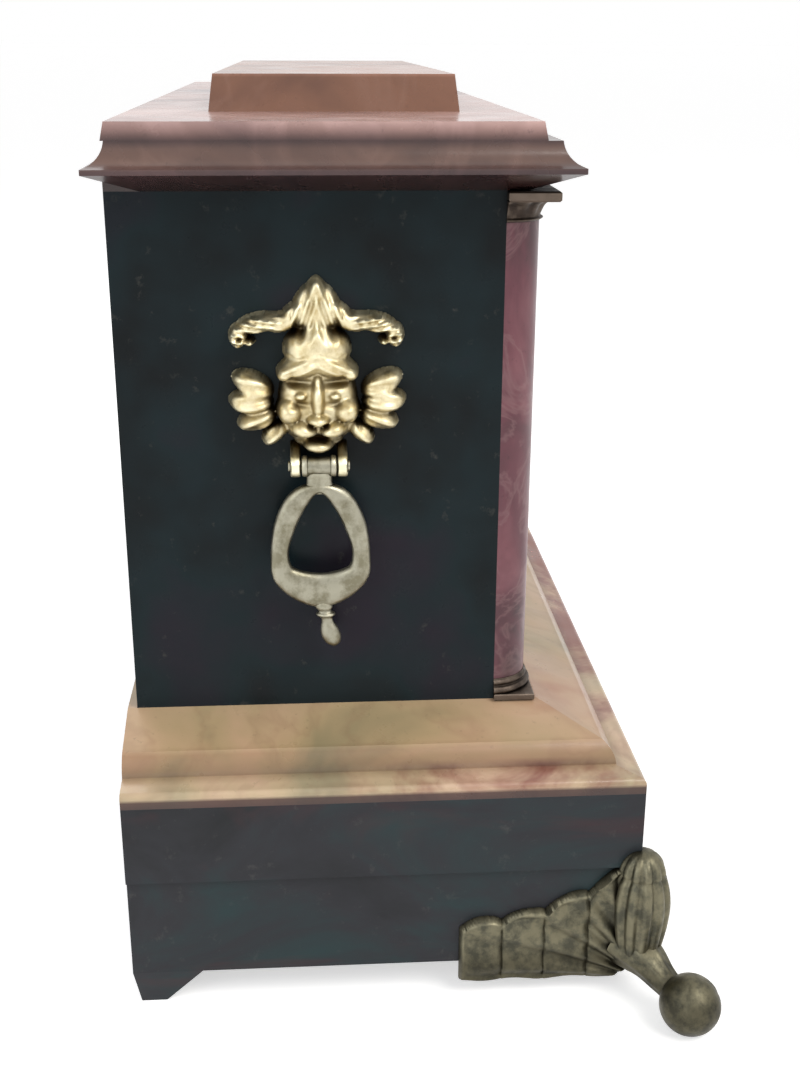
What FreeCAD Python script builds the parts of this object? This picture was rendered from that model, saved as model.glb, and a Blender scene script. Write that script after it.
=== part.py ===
"""A black mantel clock: a veneered case on a stepped base, with engaged columns, lion masks
with hanging rings, cast corner feet, a round dial under a hinged glass, and an eight-day
movement that strikes on a coiled gong.

Millimetres. +X is the clock's right as seen from the front, +Y its back and +Z up. The origin
is on the floor, in the middle of the clock's length and depth."""

import FreeCAD, Part
import math
import os
import re
import Sketcher

# ---------------------------------------------------------------- driving sizes

SIZES = {
    # case
    "body_length": 336,
    "body_depth": 113,
    "panel_height": 159,
    "side_wall": 10,
    "front_wall": 10,
    "back_wall": 8,
    # base
    "foot_height": 12,
    "apron_height": 34,
    "band_height": 26,
    "band_width": 14,
    "band_proud": 2,
    "base_wall": 10,
    "ledge": 28,
    "back_ledge": 3,
    "deck_front": 14,
    "deck_thickness": 12,
    # moulding between base and body
    "moulding_height": 19,
    "slope_drop": 6,
    "cove_run": 4,
    "cove_drop": 7,
    "cove_radius": 9,
    "nose_width": 6,
    "nose_drop": 1,
    "nose_round": 2,
    # cornice, slab and cap
    "cornice_height": 14,
    "cornice_width": 16,
    "cornice_front": 6,
    "eave": 14,
    "eave_rise": 5.5,
    "eave_edge": 1.5,
    "eave_radius": 8,
    "cornice_top": 8,
    "back_eave": 4,
    "slab_thickness": 5,
    "slab_side": 7,
    "slab_front": 10,
    "slab_back": 1,
    "slab_taper": 1,
    "cap_height": 11,
    "cap_end": 46,
    "cap_front": 9,
    "cap_back": 27,
    "cap_taper": 1.5,
    # engaged columns
    "column_radius": 11,
    "column_pitch": 31,
    "capital_height": 9,
    "abacus_height": 3,
    "capital_flare": 4,
    "column_base_height": 7,
    "column_base_flare": 2,
    # wooden back feet
    "rear_foot_width": 22,
    "rear_foot_tip": 8,
    "rear_foot_splay": 2,
    # cast front feet
    "wing_length": 55,
    "wing_drop": 7,
    "wing_end_height": 16,
    "wing_rise": 38,
    "wing_thickness": 3.5,
    "leaf_radius": 9,
    "leaf_top": 52,
    "toe_radius": 9.5,
    "toe_flat": 0.5,
    "toe_out": 22,
    "toe_front": 15,
    "leg_radius": 6,
    "ankle_radius": 4,
    # masks and hanging rings
    "mask_middle": 58.5,
    "mask_height": 101,
    "mask_depth": 13,
    "ring_drop": 19,
    "ring_stand_off": 7.5,
    "ring_thickness": 4.5,
    "pin_radius": 1.5,
    "pin_length": 18,
    "running_play": 0.05,
    "eye_radius": 3.2,
    "eye_length": 10,
    "lug_thickness": 3,
    "lug_gap": 0.4,
    # dial, bezel and glass
    "dial_height": 80.5,
    "dial_radius": 66,
    "dial_thickness": 1,
    "dial_hole": 52,
    "bezel_radius": 74,
    "seat_thickness": 4,
    "bezel_gap": 0.4,
    "bezel_thickness": 9,
    "bezel_lip": 60,
    "glass_radius": 63,
    "glass_thickness": 2,
    "lip_thickness": 3,
    "seat_lip": 2,
    "bezel_side": 2.5,
    "bezel_bead": 2,
    "bezel_crown": 12,
    "tab_reach": 3,
    "tab_thickness": 2,
    "tab_height": 8,
    "hinge_radius": 1.8,
    "hinge_pin": 0.8,
    "hinge_length": 24,
    "hinge_gap": 0.4,
    "hinge_play": 0.2,
    "leaf_length": 11,
    "leaf_thickness": 1,
    # hands
    "hand_thickness": 0.8,
    "hour_hand_out": 3,
    "minute_hand_out": 5,
    "hour_hand_length": 34,
    "minute_hand_length": 50,
    "hour_hand_width": 8,
    "minute_hand_width": 6,
    "hour_boss": 5.5,
    "minute_boss": 4,
    "hour_shown": 10,
    "minute_shown": 10,
    # back door
    "door_width": 124,
    "door_height": 126,
    "door_foot": 14,
    "door_thickness": 4,
    "door_gap": 0.8,
    "door_rebate": 3,
    "knob_radius": 5,
    "knob_length": 3,
    "knob_inset": 12,
    # movement frame
    "plate_thickness": 2,
    "plate_gap": 36,
    "plate_half_width": 62,
    "plate_foot": 42,
    "plate_head": 66,
    "plate_lower_pillar": 34,
    "plate_upper_pillar": 58,
    "lower_pillar_x": 56,
    "upper_pillar_x": 50,
    "pillar_radius": 3.5,
    "post_length": 5,
    "pivot_radius": 0.9,
    "pivot_play": 0.25,
    # trains: module is the pitch diameter divided by the teeth
    "great_module": 0.7,
    "centre_module": 0.5,
    "third_module": 0.45,
    "wheel_thickness": 1.5,
    "wheel_rim": 2.6,
    "wheel_hub": 4.5,
    "great_thickness": 2,
    "arbor_radius": 1.8,
    "winding_radius": 3,
    "winding_square": 4.4,
    "tooth_play": 0.12,
    "escape_radius": 15,
    "anchor_rise": 20,
    "pallet_clearance": 1.6,
    "ratchet_radius": 12,
    "click_clearance": 0.5,
    "spring_radius": 25,
    "time_great_at": 6,
    "strike_great_at": 10,
    "strike_second_at": 6,
    "strike_third_at": 14,
    "centre_at": 32,
    "third_at": 2.8,
    "escape_at": 19,
    "motion_gap": 0.7,
    "end_shake": 0.3,
    "thin_arbor": 1.4,
    "stud_radius": 1.2,
    "cannon_thickness": 2,
    "pinion_overlap": 0.5,
    "pipe_bore": 2.3,
    "pipe_wall": 0.7,
    "hand_pin": 1,
    "dial_centre_hole": 4.2,
    "click_pivot": 20,
    "click_reach": 7,
    "click_half_width": 2.6,
    "minute_wheel_thickness": 1.6,
    "minute_pinion_length": 3.2,
    "motion_play": 0.2,
    "stud_length": 6,
    "click_gap": 0.5,
    "spring_strip": 0.6,
    "spring_shrink": 1,
    "spring_width": 14,
    "fly_reach": 9,
    "crutch_length": 38,
    "crutch_play": 0.8,
    "crutch_gap": 4,
    "crutch_width": 1.6,
    # pendulum
    "cock_rise": 4,
    "cock_width": 10,
    "cock_reach": 3,
    "suspension_drop": 14,
    "clasp_height": 4,
    "rod_end": 8,
    "pendulum_length": 124,
    "pendulum_gap": 10,
    "rod_radius": 1.1,
    "bob_radius": 17,
    "bob_thickness": 8,
    "nut_radius": 3.5,
    "nut_thickness": 3,
    "slot_half_width": 34,
    "slot_depth": 20,
    # gong and hammer
    "gong_radius": 36,
    "gong_wire": 1.5,
    "gong_shrink": 2.5,
    "gong_x": 92,
    "gong_drop": 30,
    "gong_gap": 18,
    "gong_turns": 3.5,
    "hammer_x": 50,
    "hammer_rise": 20,
    "hammer_arm": 32,
    "hammer_head": 5,
    "hammer_stem": 2.4,
    "hammer_stem_depth": 4,
}

# teeth and leaves of the trains
TEETH = {
    "great": 84,
    "centre": 84,
    "third": 80,
    "escape": 48,
    "leaves": 8,
    "cannon": 12,
    "minute": 36,
    "minute_leaves": 10,
    "hour": 40,
    "strike_second": 72,
    "strike_third": 64,
    "ratchet": 14,
}
# directions from one arbor to the next, in degrees from +X towards +Z
BEARINGS = {
    "great": -14.4,
    "third": 60,
    "minute_wheel": -90,
    "strike_second": 80,
    "strike_third": 120,
    "fly": 60,
}

# places worked out from the sizes
PLACES = {
    "side_x": "body_length / 2",
    "toe_reach": "deck_front + ledge + toe_front + toe_radius",
    "back_y": "(body_depth + toe_reach - back_eave) / 2",
    "front_y": "back_y - body_depth",
    "base_x": "side_x + ledge",
    "base_front_y": "front_y - deck_front - ledge",
    "base_back_y": "back_y + back_ledge",
    "deck_y": "front_y - deck_front",
    "apron_z": "foot_height",
    "band_z": "foot_height + apron_height",
    "moulding_z": "band_z + band_height",
    "deck_z": "moulding_z + moulding_height",
    "cornice_z": "deck_z + panel_height",
    "slab_z": "cornice_z + cornice_height",
    "cap_z": "slab_z + slab_thickness",
    "dial_z": "deck_z + dial_height",
    "inner_x": "side_x - side_wall",
    "cornice_front_y": "front_y - cornice_front",
    "cornice_back_y": "back_y - (eave - back_eave)",
    "mask_y": "back_y - mask_middle",
    "mask_z": "deck_z + mask_height",
    "pin_z": "mask_z - ring_drop - 1",
    "pin_x": "side_x + ring_stand_off",
    "toe_x": "base_x + toe_out",
    "toe_y": "base_front_y - toe_front",
    "plate_y": "front_y + front_wall + post_length + plate_thickness",
    "rear_plate_y": "plate_y + plate_gap",
    "pendulum_y": "rear_plate_y + plate_thickness + pendulum_gap",
    "door_z": "deck_z + door_foot",
    "door_hinge_x": "door_width / 2",
    "door_hinge_y": "back_y + hinge_radius + hinge_play",
    "bezel_hinge_x": "bezel_radius + hinge_radius + hinge_gap",
    "bezel_hinge_y": "front_y - seat_thickness - bezel_gap / 2",
    "bezel_back": "seat_thickness + bezel_gap",
    "gong_y": "rear_plate_y + plate_thickness + gong_gap",
}

# ---------------------------------------------------------------- the document

document = FreeCAD.newDocument("mantel_clock")
sheet = document.addObject("Spreadsheet::Sheet", "Sizes")
for row, (alias, size) in enumerate(SIZES.items(), 1):
    sheet.set(f"A{row}", alias.replace("_", " "))
    sheet.set(f"B{row}", str(size))
    sheet.setAlias(f"B{row}", alias)
document.recompute()
nodes = []


def vector(x, y, z):
    return FreeCAD.Vector(x, y, z)


def bound(text):
    """A size written in plain words, as an expression on the spreadsheet."""

    def swap(match):
        word = match.group(0)
        if word in PLACES:
            return "(" + bound(PLACES[word]) + ")"
        return "Sizes." + word if word in SIZES else word

    return re.sub(r"[A-Za-z][A-Za-z0-9_]*", swap, text)


def value(text):
    return float(sheet.evalExpression(bound(text).replace("Sizes.", "")))


# ---------------------------------------------------------------- ways of making a solid

FRONT = FreeCAD.Rotation(vector(1, 0, 0), vector(0, 0, 1), vector(0, -1, 0))
LEFT = FreeCAD.Rotation(vector(0, -1, 0), vector(0, 0, 1), vector(-1, 0, 0))
UPRIGHT = FreeCAD.Rotation()
TURNS = {
    "X": FreeCAD.Rotation(vector(0, 1, 0), 90),
    "Y": FreeCAD.Rotation(vector(1, 0, 0), -90),
    "Z": UPRIGHT,
}


def put(thing, at, turn=UPRIGHT):
    """Bind an object's place to the spreadsheet."""
    thing.Placement = FreeCAD.Placement(vector(0, 0, 0), turn)
    for axis, place in zip("xyz", at):
        thing.setExpression(f"Placement.Base.{axis}", bound(place))
    return thing


def bind(thing, **sizes):
    for name, size in sizes.items():
        thing.setExpression(name, bound(size))
    return thing


def block(name, x, y, z):
    """A box between two places along each axis."""
    box = document.addObject("Part::Box", name)
    for side, (low, high) in zip(("Length", "Width", "Height"), (x, y, z)):
        box.setExpression(side, bound(f"({high}) - ({low})"))
    return put(box, (x[0], y[0], z[0]))


def rod(name, radius, length, at, along, sweep=360, turn=None):
    """A cylinder that starts at a place and runs along an axis."""
    thing = bind(document.addObject("Part::Cylinder", name), Radius=radius, Height=length)
    thing.Angle = sweep
    return put(thing, at, turn or TURNS[along])


def cone(name, first, last, length, at, turn=UPRIGHT, sweep=360):
    thing = document.addObject("Part::Cone", name)
    bind(thing, Radius1=first, Radius2=last, Height=length)
    thing.Angle = sweep
    return put(thing, at, turn)


def frustum(name, x, y, z, top_x, top_y):
    """A block whose top face has its own edges."""
    wedge = document.addObject("Part::Wedge", name)
    bind(wedge, Xmin=x[0], Xmax=x[1], Zmin=f"-({y[1]})", Zmax=f"-({y[0]})", Ymin=z[0], Ymax=z[1])
    bind(wedge, X2min=top_x[0], X2max=top_x[1], Z2min=f"-({top_y[1]})", Z2max=f"-({top_y[0]})")
    wedge.Placement = FreeCAD.Placement(vector(0, 0, 0), FreeCAD.Rotation(vector(1, 0, 0), 90))
    return wedge


def dome(name, across, up, width, height, depth, base="0", tilt=0):
    """Half an ellipsoid that stands on the left side panel, placed from the mask's middle."""
    thing = bind(document.addObject("Part::Ellipsoid", name), Radius1=depth, Radius2=width, Radius3=height)
    thing.Angle1 = 0
    spin = FreeCAD.Rotation(vector(0, 0, 1), tilt)
    at = (f"-side_x - ({base})", f"mask_y - ({across})", f"mask_z + ({up})")
    return put(thing, at, LEFT.multiply(spin))


def fuse(name, *parts):
    whole = document.addObject("Part::MultiFuse", name)
    whole.Shapes = list(parts)
    whole.Refine = True
    return whole


def cut(name, base, *tools):
    rest = document.addObject("Part::Cut", name)
    rest.Base = base
    rest.Tool = tools[0] if len(tools) == 1 else fuse(name + "_tools", *tools)
    return rest


def group(name, *parts):
    """Separate solids of one kind, kept together."""
    whole = document.addObject("Part::Compound", name)
    whole.Links = list(parts)
    return whole


def mirror(name, source):
    """The same piece on the clock's other side."""
    twin = document.addObject("Part::Mirroring", name)
    twin.Source = source
    twin.Normal = vector(1, 0, 0)
    return twin


def node(label, thing):
    thing.Label = label
    nodes.append(thing)
    return thing


def plane(body, role):
    return next(feature for feature in body.Origin.OriginFeatures if feature.Role == role)


def hold(made, edge, end, place):
    """Bind one end of a sketch's edge to a place."""
    for kind, text in zip(("DistanceX", "DistanceY"), place):
        held = made.addConstraint(Sketcher.Constraint(kind, -1, 1, edge, end, value(text)))
        made.setExpression(f"Constraints[{held}]", bound(text))


def sketch(body, name, role, corners, offset="0"):
    """A closed outline. A corner's third entry is the radius of the arc that leads to it,
    negative where the arc bends the other way."""
    made = body.newObject("Sketcher::SketchObject", name)
    made.AttachmentSupport = (plane(body, role), [""])
    made.MapMode = "FlatFace"
    made.setExpression("AttachmentOffset.Base.z", bound(offset))
    points = [vector(value(corner[0]), value(corner[1]), 0) for corner in corners]
    ends = []
    for index, corner in enumerate(corners):
        start, end = points[index - 1], points[index]
        edge = arc(start, end, value(corner[2])) if len(corner) > 2 else Part.LineSegment(start, end)
        made.addGeometry(edge, False)
        drawn = made.Geometry[index]
        forward = (drawn.StartPoint - start).Length < (drawn.EndPoint - start).Length
        ends.append((1, 2) if forward else (2, 1))
    for index, corner in enumerate(corners):
        after = (index + 1) % len(corners)
        made.addConstraint(Sketcher.Constraint("Coincident", index, ends[index][1], after, ends[after][0]))
        hold(made, index, ends[index][1], corner[:2])
        if len(corner) > 2:
            held = made.addConstraint(Sketcher.Constraint("Radius", index, abs(value(corner[2]))))
            made.setExpression(f"Constraints[{held}]", bound(f"abs({corner[2]})"))
    return made


def arc(start, end, radius):
    """The short arc between two points, bulging right of the way from start to end, or left
    if the radius is negative."""
    chord = end - start
    middle = (start + end) * 0.5
    side = vector(-chord.y, chord.x, 0).normalize() * math.copysign(1, radius)
    rise = math.sqrt(max(radius * radius - chord.Length**2 / 4, 0))
    crown = middle + side * (rise - abs(radius))
    return Part.Arc(start, crown, end) if radius > 0 else Part.Arc(end, crown, start)


def shape_body(name, at=("0", "0", "0"), turn=UPRIGHT):
    return put(document.addObject("PartDesign::Body", name), at, turn)


def pad(name, corners, thickness, at, turn=FRONT, holes=()):
    """A flat piece: an outline, thickened, with any holes pocketed through it."""
    body = shape_body(name, at, turn)
    solid = body.newObject("PartDesign::Pad", name + "_pad")
    solid.Profile = sketch(body, name + "_outline", "XY_Plane", corners)
    solid.setExpression("Length", bound(thickness))
    for index, hole in enumerate(holes):
        document.recompute()
        pocket = body.newObject("PartDesign::Pocket", f"{name}_hole_{index}")
        pocket.Profile = sketch(body, f"{name}_hole_outline_{index}", "XY_Plane", hole)
        pocket.Type = 1
        pocket.Midplane = True
    return body


def turned(name, corners, at, turn=FRONT):
    """A round piece: corners are (radius, distance along the axis)."""
    body = shape_body(name, at, turn)
    solid = body.newObject("PartDesign::Revolution", name + "_turning")
    solid.Profile = sketch(body, name + "_profile", "XZ_Plane", corners)
    solid.ReferenceAxis = (solid.Profile[0], ["V_Axis"])
    solid.Angle = 360
    return body


def moulding(name, path, profile, start):
    """A profile swept along straight runs with mitred corners. The path starts at the
    back left, so the profile stands on the plane through the start."""
    body = shape_body(name)
    run = body.newObject("Sketcher::SketchObject", name + "_path")
    run.AttachmentSupport = (plane(body, "XY_Plane"), [""])
    run.MapMode = "FlatFace"
    points = [vector(value(x), value(y), 0) for x, y in path]
    for index, (low, high) in enumerate(zip(points, points[1:])):
        run.addGeometry(Part.LineSegment(low, high), False)
        if index:
            run.addConstraint(Sketcher.Constraint("Coincident", index - 1, 2, index, 1))
    for index, (x, y) in enumerate(path):
        edge, end = (index, 1) if index < len(path) - 1 else (index - 1, 2)
        hold(run, edge, end, (x, y))
    sweep = body.newObject("PartDesign::AdditivePipe", name + "_sweep")
    sweep.Profile = sketch(body, name + "_profile", "XZ_Plane", profile, f"-({start})")
    sweep.Spine = (run, [])
    sweep.Transition = "Right corner"
    return body


# ---------------------------------------------------------------- base and feet


def base():
    outer, inner = "base_x", "base_x - base_wall"
    height = ("apron_z", "band_z")
    front = ("base_front_y", "base_front_y + base_wall")
    back = ("base_back_y - base_wall", "base_back_y")
    between = (front[1], back[0])
    node("base_front_board", block("base_front", (f"-{outer}", outer), front, height))
    node("base_back_board", block("base_back", (f"-{outer}", outer), back, height))
    right = block("base_right", (inner, outer), between, height)
    node("base_side_boards", group("base_side_set", right, mirror("base_left", right)))
    edge = "base_x + band_proud"
    depth = ("base_front_y - band_proud", "base_back_y")
    band = block("band", (f"-({edge})", edge), depth, ("band_z", "moulding_z"))
    hollow = block(
        "band_hollow",
        (f"-({edge} - band_width)", f"{edge} - band_width"),
        ("base_front_y - band_proud + band_width", "base_back_y - band_width"),
        ("band_z", "moulding_z"),
    )
    node("base_band", cut("band_frame", band, hollow))


def deck():
    profile = [
        ("-side_x", "moulding_z"),
        ("-side_x", "deck_z"),
        ("-(base_x - nose_width - cove_run)", "deck_z - slope_drop"),
        ("-(base_x - nose_width)", "deck_z - slope_drop - cove_drop", "cove_radius"),
        ("-base_x", "deck_z - slope_drop - cove_drop - nose_drop"),
        (
            "-(base_x + band_proud)",
            "deck_z - slope_drop - cove_drop - nose_drop - nose_round",
            "nose_round",
        ),
        ("-(base_x + band_proud)", "moulding_z"),
    ]
    path = [
        ("-side_x", "base_back_y"),
        ("-side_x", "deck_y"),
        ("side_x", "deck_y"),
        ("side_x", "base_back_y"),
    ]
    node("deck_moulding", moulding("deck_moulding_body", path, profile, "base_back_y"))
    board = block(
        "deck_blank",
        ("-side_x", "side_x"),
        ("deck_y", "base_back_y"),
        ("deck_z - deck_thickness", "deck_z"),
    )
    slot = block(
        "pendulum_slot",
        ("-slot_half_width", "slot_half_width"),
        ("pendulum_y - slot_depth / 2", "pendulum_y + slot_depth / 2"),
        ("deck_z - deck_thickness", "deck_z"),
    )
    rail = block(
        "deck_rail",
        ("-side_x", "side_x"),
        ("base_back_y - base_wall", "base_back_y"),
        ("moulding_z", "deck_z - deck_thickness"),
    )
    node("deck_board", fuse("deck_railed", cut("deck_slotted", board, slot), rail))


def rear_feet():
    top = "base_x - rear_foot_width"
    tip = "base_x - rear_foot_splay - rear_foot_tip"
    right = frustum(
        "rear_foot",
        (tip, "base_x - rear_foot_splay"),
        ("base_back_y - rear_foot_splay - rear_foot_tip", "base_back_y - rear_foot_splay"),
        ("0", "foot_height"),
        (top, "base_x"),
        ("base_back_y - rear_foot_width", "base_back_y"),
    )
    node("rear_feet", group("rear_foot_set", right, mirror("rear_foot_twin", right)))


def wing_outline(corner):
    """A wing of a corner casting, from its free end to the corner of the base, seen square on."""
    reach = f"({corner}) - wing_length"
    return [
        (reach, "apron_z - wing_drop + 3"),
        (f"{reach} + 5", "apron_z - wing_drop"),
        (f"({corner}) - 8", "apron_z - wing_drop"),
        (corner, "apron_z - wing_drop + 4"),
        (corner, "apron_z + wing_rise"),
        (f"{reach} + 24", "apron_z + wing_end_height + 4", "-70"),
        (reach, "apron_z + wing_end_height", "-60"),
    ]


def leg_of_foot():
    """The cast leg from the corner leaf out and down to the ball of the toe."""
    corner = vector(value("base_x"), value("base_front_y"), value("apron_z + leg_radius"))
    toe = vector(value("toe_x"), value("toe_y"), value("toe_radius - toe_flat"))
    way = toe - corner
    leg = document.addObject("Part::Feature", "foot_leg")
    leg.Shape = Part.makeCone(value("leg_radius"), value("ankle_radius"), way.Length, corner, way)
    return leg


def front_feet():
    wing = "wing_thickness"
    side = pad(
        "foot_side_wing",
        wing_outline("-base_front_y"),
        wing,
        ("base_x + wing_thickness", "0", "0"),
        LEFT,
    )
    front = pad("foot_front_wing", wing_outline("base_x"), wing, ("0", "base_front_y", "0"))
    post = block(
        "foot_corner",
        ("base_x", "base_x + wing_thickness"),
        ("base_front_y - wing_thickness", "base_front_y"),
        ("apron_z - wing_drop + 4", "apron_z + wing_rise"),
    )
    tip, bulge = "leaf_radius * 0.4", "(leaf_radius * 0.6)"
    leaf = turned(
        "foot_leaf",
        [
            ("0", "apron_z"),
            (tip, "apron_z"),
            (tip, "leaf_top", f"(((leaf_top - apron_z) / 2)^2 + {bulge}^2) / (2 * {bulge})"),
            ("0", "leaf_top"),
        ],
        ("base_x + leaf_radius / 3", "base_front_y - leaf_radius / 3", "0"),
        UPRIGHT,
    )
    leaf_clear = cut(
        "foot_leaf_cut",
        leaf,
        block(
            "foot_corner_room",
            ("base_x - 60", "base_x"),
            ("base_front_y", "base_front_y + 60"),
            ("0", "leaf_top + 20"),
        ),
    )
    ball = document.addObject("Part::Sphere", "foot_ball")
    bind(ball, Radius="toe_radius")
    put(ball, ("toe_x", "toe_y", "toe_radius - toe_flat"))
    whole = fuse("foot_cast", side, front, post, leaf_clear, leg_of_foot(), ball)
    room = block(
        "foot_ground",
        ("0", "toe_x + 40"),
        ("toe_y - 40", "toe_y + 40"),
        ("-20", "0"),
    )
    under = block(
        "foot_base_room",
        ("base_x - 60", "base_x"),
        ("base_front_y", "base_front_y + 60"),
        ("apron_z", "leaf_top + 20"),
    )
    beside = block(
        "foot_band_room",
        ("base_x - 60", "base_x + band_proud"),
        ("base_front_y - band_proud", "base_front_y + 60"),
        ("band_z", "leaf_top + 20"),
    )
    right = cut("foot_right", whole, room, under, beside)
    node("front_foot_right", right)
    node("front_foot_left", mirror("foot_twin", right))


# ---------------------------------------------------------------- body of the case


def body():
    height = ("deck_z", "cornice_z")
    right = block("side_panel", ("inner_x", "side_x"), ("front_y", "back_y"), height)
    node("side_panel_right", right)
    node("side_panel_left", mirror("side_panel_twin", right))
    front = block("front_blank", ("-inner_x", "inner_x"), ("front_y", "front_y + front_wall"), height)
    hole = rod("dial_opening", "dial_hole", "front_wall", ("0", "front_y", "dial_z"), "Y")
    node("front_board", cut("front_holed", front, hole))
    back = block("back_blank", ("-inner_x", "inner_x"), ("back_y - back_wall", "back_y"), height)
    edge = "door_width / 2 + door_gap"
    opening = block(
        "door_opening",
        (f"-({edge})", edge),
        ("back_y - door_thickness - hinge_gap", "back_y"),
        ("door_z - door_gap", "door_z + door_height + door_gap"),
    )
    inner_edge = f"{edge} - door_rebate"
    passage = block(
        "door_passage",
        (f"-({inner_edge})", inner_edge),
        ("back_y - back_wall", "back_y"),
        ("door_z - door_gap + door_rebate", "door_z + door_height + door_gap - door_rebate"),
    )
    node("back_board", cut("back_holed", back, opening, passage))


def cornice():
    foot, rise = "cornice_z", "cornice_z + eave_rise"
    profile = [
        ("-(side_x - cornice_width)", foot),
        ("-side_x", foot),
        ("-(side_x + eave)", rise),
        ("-(side_x + eave)", f"{rise} + eave_edge"),
        ("-(side_x + cornice_top)", "slab_z", "eave_radius"),
        ("-(side_x - cornice_width)", "slab_z"),
    ]
    path = [
        ("-side_x", "cornice_back_y"),
        ("-side_x", "cornice_front_y"),
        ("side_x", "cornice_front_y"),
        ("side_x", "cornice_back_y"),
        ("-side_x", "cornice_back_y"),
    ]
    ring = moulding_ring("cornice_ring", path, profile)
    filler = block(
        "cornice_back_rail",
        ("-side_x", "side_x"),
        ("cornice_back_y", "back_y"),
        (foot, rise),
    )
    node("cornice_moulding", fuse("cornice_whole", ring, filler))
    inner = "side_x - cornice_width"
    node(
        "top_board",
        block(
            "top_blank",
            (f"-({inner})", inner),
            ("cornice_front_y + cornice_width", "cornice_back_y - cornice_width"),
            ("cornice_z", "slab_z"),
        ),
    )
    side = "side_x + slab_side"
    node(
        "cornice_slab",
        frustum(
            "slab",
            (f"-({side})", side),
            ("front_y - slab_front", "back_y - slab_back"),
            ("slab_z", "cap_z"),
            (f"-({side} - slab_taper)", f"{side} - slab_taper"),
            ("front_y - slab_front + slab_taper", "back_y - slab_back - slab_taper"),
        ),
    )
    end = "side_x - cap_end"
    node(
        "cap_block",
        frustum(
            "cap",
            (f"-({end})", end),
            ("front_y + cap_front", "back_y - cap_back"),
            ("cap_z", "cap_z + cap_height"),
            (f"-({end} - cap_taper)", f"{end} - cap_taper"),
            ("front_y + cap_front + cap_taper", "back_y - cap_back - cap_taper"),
        ),
    )


def moulding_ring(name, path, profile):
    """A moulding all round: one mitred run for each side, joined."""
    return moulding(name, path, profile, path[0][1])


COLUMN_TURN = FreeCAD.Rotation(vector(0, 0, 1), 180)


def column(side, place, x):
    """An engaged column: half a shaft against the front, with its base and capital."""
    at_foot = (x, "front_y", "deck_z")
    shaft_foot = "deck_z + column_base_height"
    shaft_head = "cornice_z - capital_height"
    name = f"{side}_{place}"
    shaft = rod(
        "column_" + name,
        "column_radius",
        f"({shaft_head}) - ({shaft_foot})",
        (x, "front_y", shaft_foot),
        "Z",
        180,
        COLUMN_TURN,
    )
    node(f"column_{name}_shaft", shaft)
    foot = rod(
        "column_foot_" + name,
        "column_radius + column_base_flare",
        "column_base_height",
        at_foot,
        "Z",
        180,
        COLUMN_TURN,
    )
    bell = cone(
        "column_bell_" + name,
        "column_radius",
        "column_radius + capital_flare",
        "capital_height - abacus_height",
        (x, "front_y", shaft_head),
        COLUMN_TURN,
        180,
    )
    flare = "column_radius + capital_flare"
    abacus = block(
        "column_abacus_" + name,
        (f"{x} - ({flare})", f"{x} + {flare}"),
        (f"front_y - ({flare})", "front_y"),
        ("cornice_z - abacus_height", "cornice_z"),
    )
    return foot, fuse("column_capital_" + name, bell, abacus)


def columns():
    feet, capitals = [], []
    for side, sign in (("left", "-1"), ("right", "1")):
        for place, step in (("outer", "0"), ("inner", "1")):
            x = f"{sign} * (side_x - column_radius - {step} * column_pitch)"
            foot, capital = column(side, place, x)
            feet.append(foot)
            capitals.append(capital)
    node("column_bases", group("column_base_set", *feet))
    node("column_capitals", group("column_capital_set", *capitals))


# ---------------------------------------------------------------- masks and hanging rings


def mask():
    """A lion's head in relief, with a spade-shaped crest, curled leaves and a mane."""
    parts = [
        dome("mask_head", "0", "-1", "14.5", "17", "mask_depth"),
        dome("mask_crest", "0", "22", "7.6", "12.6", "mask_depth * 0.7"),
        dome("mask_forehead", "0", "10.5", "11.5", "6.5", "mask_depth"),
        dome("mask_nose", "0", "-2", "3", "7.5", "4.5", "mask_depth - 2"),
        dome("mask_chin", "0", "-14.5", "6", "3.5", "mask_depth * 0.8"),
    ]
    for side in (-1, 1):
        hand = "left" if side < 0 else "right"
        parts += [
            dome(
                f"mask_leaf_{hand}",
                f"{side * 16.5}",
                "20.5",
                "8.6",
                "3.8",
                "mask_depth * 0.6",
                "0",
                side * 10,
            ),
            dome(f"mask_mane_{hand}", f"{side * 19}", "-1.5", "7", "9", "mask_depth * 0.6", "0", side * 6),
            dome(f"mask_cheek_{hand}", f"{side * 7}", "-8", "6.5", "5", "4", "mask_depth - 3"),
        ]
    return parts


def lug(name, across):
    """An ear of the casting that holds one end of the ring's pin."""
    out = "ring_stand_off + eye_radius"
    middle = f"mask_y - ({across})"
    return block(
        name,
        (f"-(side_x + {out})", "-side_x"),
        (f"{middle} - lug_thickness / 2", f"{middle} + lug_thickness / 2"),
        ("pin_z - eye_radius", "pin_z + eye_radius + 3"),
    )


def masks():
    lug_middle = "(eye_length / 2 + lug_gap + lug_thickness / 2)"
    parts = mask() + [lug("lug_back", f"-{lug_middle}"), lug("lug_front", lug_middle)]
    start = "mask_y - pin_length / 2"
    pin_room = rod("pin_room", "pin_radius", "pin_length", ("-pin_x", start, "pin_z"), "Y")
    eye_room = rod(
        "eye_room",
        "eye_radius + lug_gap",
        "eye_length + 2 * lug_gap",
        ("-pin_x", "mask_y - eye_length / 2 - lug_gap", "pin_z"),
        "Y",
    )
    left = cut("mask_cast", fuse("mask_blank", *parts), eye_room, pin_room)
    node("lion_mask_left", left)
    node("lion_mask_right", mirror("mask_twin", left))
    pin = rod("ring_pin", "pin_radius", "pin_length", ("-pin_x", start, "pin_z"), "Y")
    node("ring_pins", group("ring_pin_set", pin, mirror("ring_pin_twin", pin)))


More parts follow.
